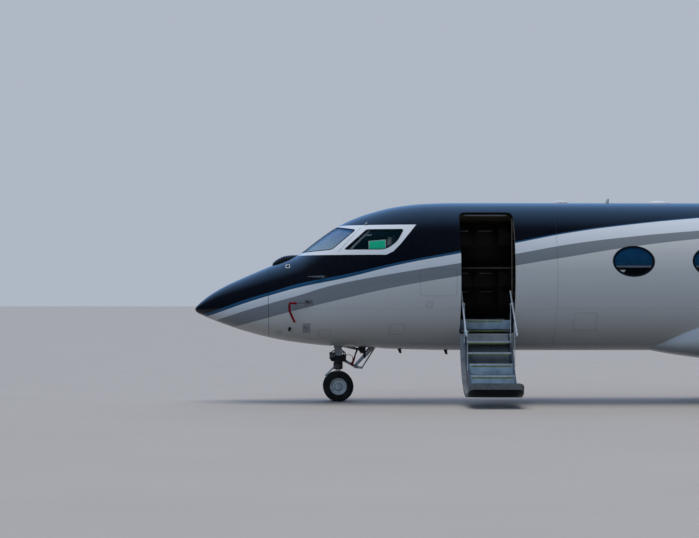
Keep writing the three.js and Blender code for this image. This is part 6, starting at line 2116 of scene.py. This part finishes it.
def air_probe(side, word):
    """Pitot head: plate on the skin, swept mast, tube, the red cover over its end and the cover's ribbon."""
    out = float(hull_side(PROBE_STATION - 0.06, PROBE_Z, side)[1]) + side * PROBE_STAND
    root = hull_side(PROBE_STATION, PROBE_Z, side)
    share = np.linspace(0, 1, 12)
    path = root + share[:, None] * (np.array([at(PROBE_STATION - 0.06), out, PROBE_Z]) - root)
    mast = tube(path, np.linspace(0.024, 0.0135, 12), 20)
    mast[0][:, 2] = PROBE_Z + (mast[0][:, 2] - PROBE_Z) * 0.6
    stem = rod((at(PROBE_STATION - 0.045), out, PROBE_Z), (at(PROBE_COVER - 0.02), out, PROBE_Z), 0.0125)
    piece(f"air_probe_{word}", [mast, stem], BRIGHT, sharp=40)
    outline = rounded_box(1.915, 2.05, PROBE_Z - 0.045, PROBE_Z + 0.05, 0.03)
    piece(f"air_probe_plate_{word}", patch(outline, side, 0.004, -0.004), SATIN, bevel=0.001)
    spots = [(s, PROBE_Z + z) for s in (1.935, 2.03) for z in (-0.028, 0.033)]
    piece(f"air_probe_screws_{word}", heads(spots, 0.008, side, 0.005, 0.002, points=8), STEEL)
    t = np.linspace(0, 1, 40)
    wave = 1 + 0.05 * np.sin(t * 26) * (1 - t)
    ends = np.sqrt(np.clip((1.02 - t) * 14, 0, 1)) * np.where(t < 0.04, 0.93, 1)
    radius = (0.0205 - 0.0035 * t) * wave * ends
    line = np.linspace((at(PROBE_COVER), out, PROBE_Z), (at(PROBE_TIP), out, PROBE_Z), 40)
    cover = piece(f"probe_cover_{word}", tube(line, radius, 20), RED_CLOTH, sharp=60)
    ribbon(side, word, out)


def ribbon(side, word, y):
    """The cover's ribbon hangs, then blows aft, and its width twists a little along it."""
    line = [(s, PROBE_Z - fall) for s, fall in RIBBON_LINE]
    t = np.linspace(0, 1, 60)
    sway = side * 0.006 * np.sin(t * 9) * t
    shape, length = webbing(line, y + sway, side * 0.25 * np.sin(t * 4.2) * t, RIBBON_WIDTH, 0.0012, 9)
    strip = piece(f"probe_ribbon_{word}_cloth", shape, RED_CLOTH,
                  nodes=[f"probe_ribbon_{word}"], sharp=40)


def cone_probe(side, word):
    """A bright cone pointing forward beside the skin, on a short stalk and an oval foot."""
    z = 2.17
    out = float(hull_side(2.12, z, side)[1]) + side * 0.04
    t = np.linspace(0, 1, 24)
    path = np.column_stack([at(1.963) + t * 0.285, np.full(24, out), np.full(24, z)])
    body = tube(path, 0.003 + 0.017 * t**0.8 * np.sqrt(np.clip((1.03 - t) * 12, 0, 1)), 20)
    stalk = rod(hull_side(2.235, z, side), (at(2.215), out, z), 0.018, 0.012)
    piece(f"cone_probe_{word}", [body, stalk], BRIGHT, sharp=40)
    foot = patch(ellipse((2.245, z), 0.1, 0.06, 30), side, 0.004, -0.004)
    piece(f"cone_probe_foot_{word}", foot, SATIN)


def ice_probe(side, word):
    """A black stub on a round foot, its end a half ball."""
    station, z = 1.655, 1.285
    root = hull_side(station, z, side)
    out = hull_normal(root[None])[0]
    t = np.linspace(0, 1, 20)
    path = root + out * (t[:, None] * 0.075 - 0.01)
    radius = np.where(t < 0.3, 0.032 - 0.03 * t, 0.021) * np.sqrt(np.clip((1.02 - t) * 6, 0, 1))
    piece(f"ice_probe_{word}", tube(path, radius, 24), RUBBER, sharp=40)


def static_plate(side, word):
    """A bare plate flush with the skin, with three sensing holes and its screws."""
    outline = rounded_box(1.875, 2.01, 1.205, 1.37, 0.012)
    piece(f"static_plate_{word}", patch(outline, side, 0.0015, -0.003), PALE_TRIM, bevel=0.0005)
    holes = heads(((1.915, 1.31), (1.935, 1.275), (1.965, 1.295)), 0.02, side, 0.002, 0.0, points=20, rings=3)
    piece(f"static_holes_{word}", holes, RUBBER)
    loop = even(rounded_box(1.883, 2.002, 1.213, 1.362, 0.01), 12)
    piece(f"static_screws_{word}", heads(loop, 0.006, side, 0.002, 0.0), STEEL)


def corner_vane(side, word):
    """A small white fin on the upper edge of the window surround."""
    foot = hull_side(2.965, 3.075, side)
    out = hull_normal(foot[None])[0]
    length = np.array([0.055, 0, 0.012])
    share = np.linspace(-1, 1, 9)[:, None]
    across = np.cross(out, length / np.linalg.norm(length)) * 0.004
    thick = across * np.sqrt(np.clip(1.05 - share**2, 0, 1))
    rows = []
    for height, size, shift in ((-0.01, 1.0, 0.0), (0.02, 0.75, 0.012), (0.045, 0.35, 0.028)):
        line = foot + out * height + length * (share * size / 2) + (shift, 0, 0)
        rows.append(np.concatenate([line + thick, (line - thick)[::-1]]))
    piece(f"corner_vane_{word}", loft(np.stack(rows)), WHITE_TRIM)


def dome(station, length, width, height):
    """A low oval cap on the crown, its height falling as an ellipse, its skirt sunk in the skin."""
    angle = around(48)
    rise = np.linspace(0, 0.985, 14)
    share = np.concatenate([[1.0], np.sqrt(1 - rise**2)])[:, None]
    lift = np.concatenate([[-0.02], height * rise])[:, None]
    points = np.empty((15, 48, 3))
    points[..., 0] = at(station + length / 2) + length / 2 * share * np.cos(angle)
    points[..., 1] = width / 2 * share * np.sin(angle)
    drop = hull_section(station)[0] - CROWN_RADIUS * (1 - np.sqrt(1 - (points[..., 1] / CROWN_RADIUS) ** 2))
    points[..., 2] = drop + lift
    return loft(points)


def blade_aerial(station, base, height, chord=0.07, thick=0.026):
    """A swept blade: a lens section that shrinks and moves aft from foot to tip, the tip rounded."""
    share = np.linspace(-1, 1, 15)
    sunk = math.copysign(0.02, height)
    rows = []
    for t in np.linspace(0, 1, 16):
        size = chord * (1 - 0.42 * t) * np.sqrt(max(0.04, 1 - max(0, t - 0.85) ** 2 * 30))
        x = at(station + chord / 2 + chord * 0.37 * t) + size / 2 * share
        half = thick / 2 * (1 - share**2) * (1 - 0.4 * t) + 0.001
        z = np.full(15, base - sunk + (height + sunk) * t)
        rows.append(np.concatenate([np.column_stack([x, half, z]), np.column_stack([x, -half, z])[::-1]]))
    return loft(np.stack(rows))


def aerials():
    """Two domes and a blade on the crown, and two blades under the nose."""
    piece("crown_domes", [dome(6.272, 0.26, 0.13, 0.046), dome(7.933, 0.42, 0.2, 0.04)], WHITE_TRIM)
    piece("crown_blade", blade_aerial(7.19, 3.474, 0.08), WHITE_TRIM)
    blades = [blade_aerial(3.535, 0.913, -0.075), blade_aerial(4.344, 0.894, -0.075)]
    piece("belly_blades", blades, SENSOR_BLACK)


camera_and_studio()
fuselage()
cabin_windows()
cockpit_windows()
door()
airstair()
handrails()
wings_and_tail()
wing_fittings()
tail_end()
belly()
engines()
landing_gear()
nose_fittings()
panel_lines()
aerials()
dress_nodes()
entry_room()
flight_deck()
seats()
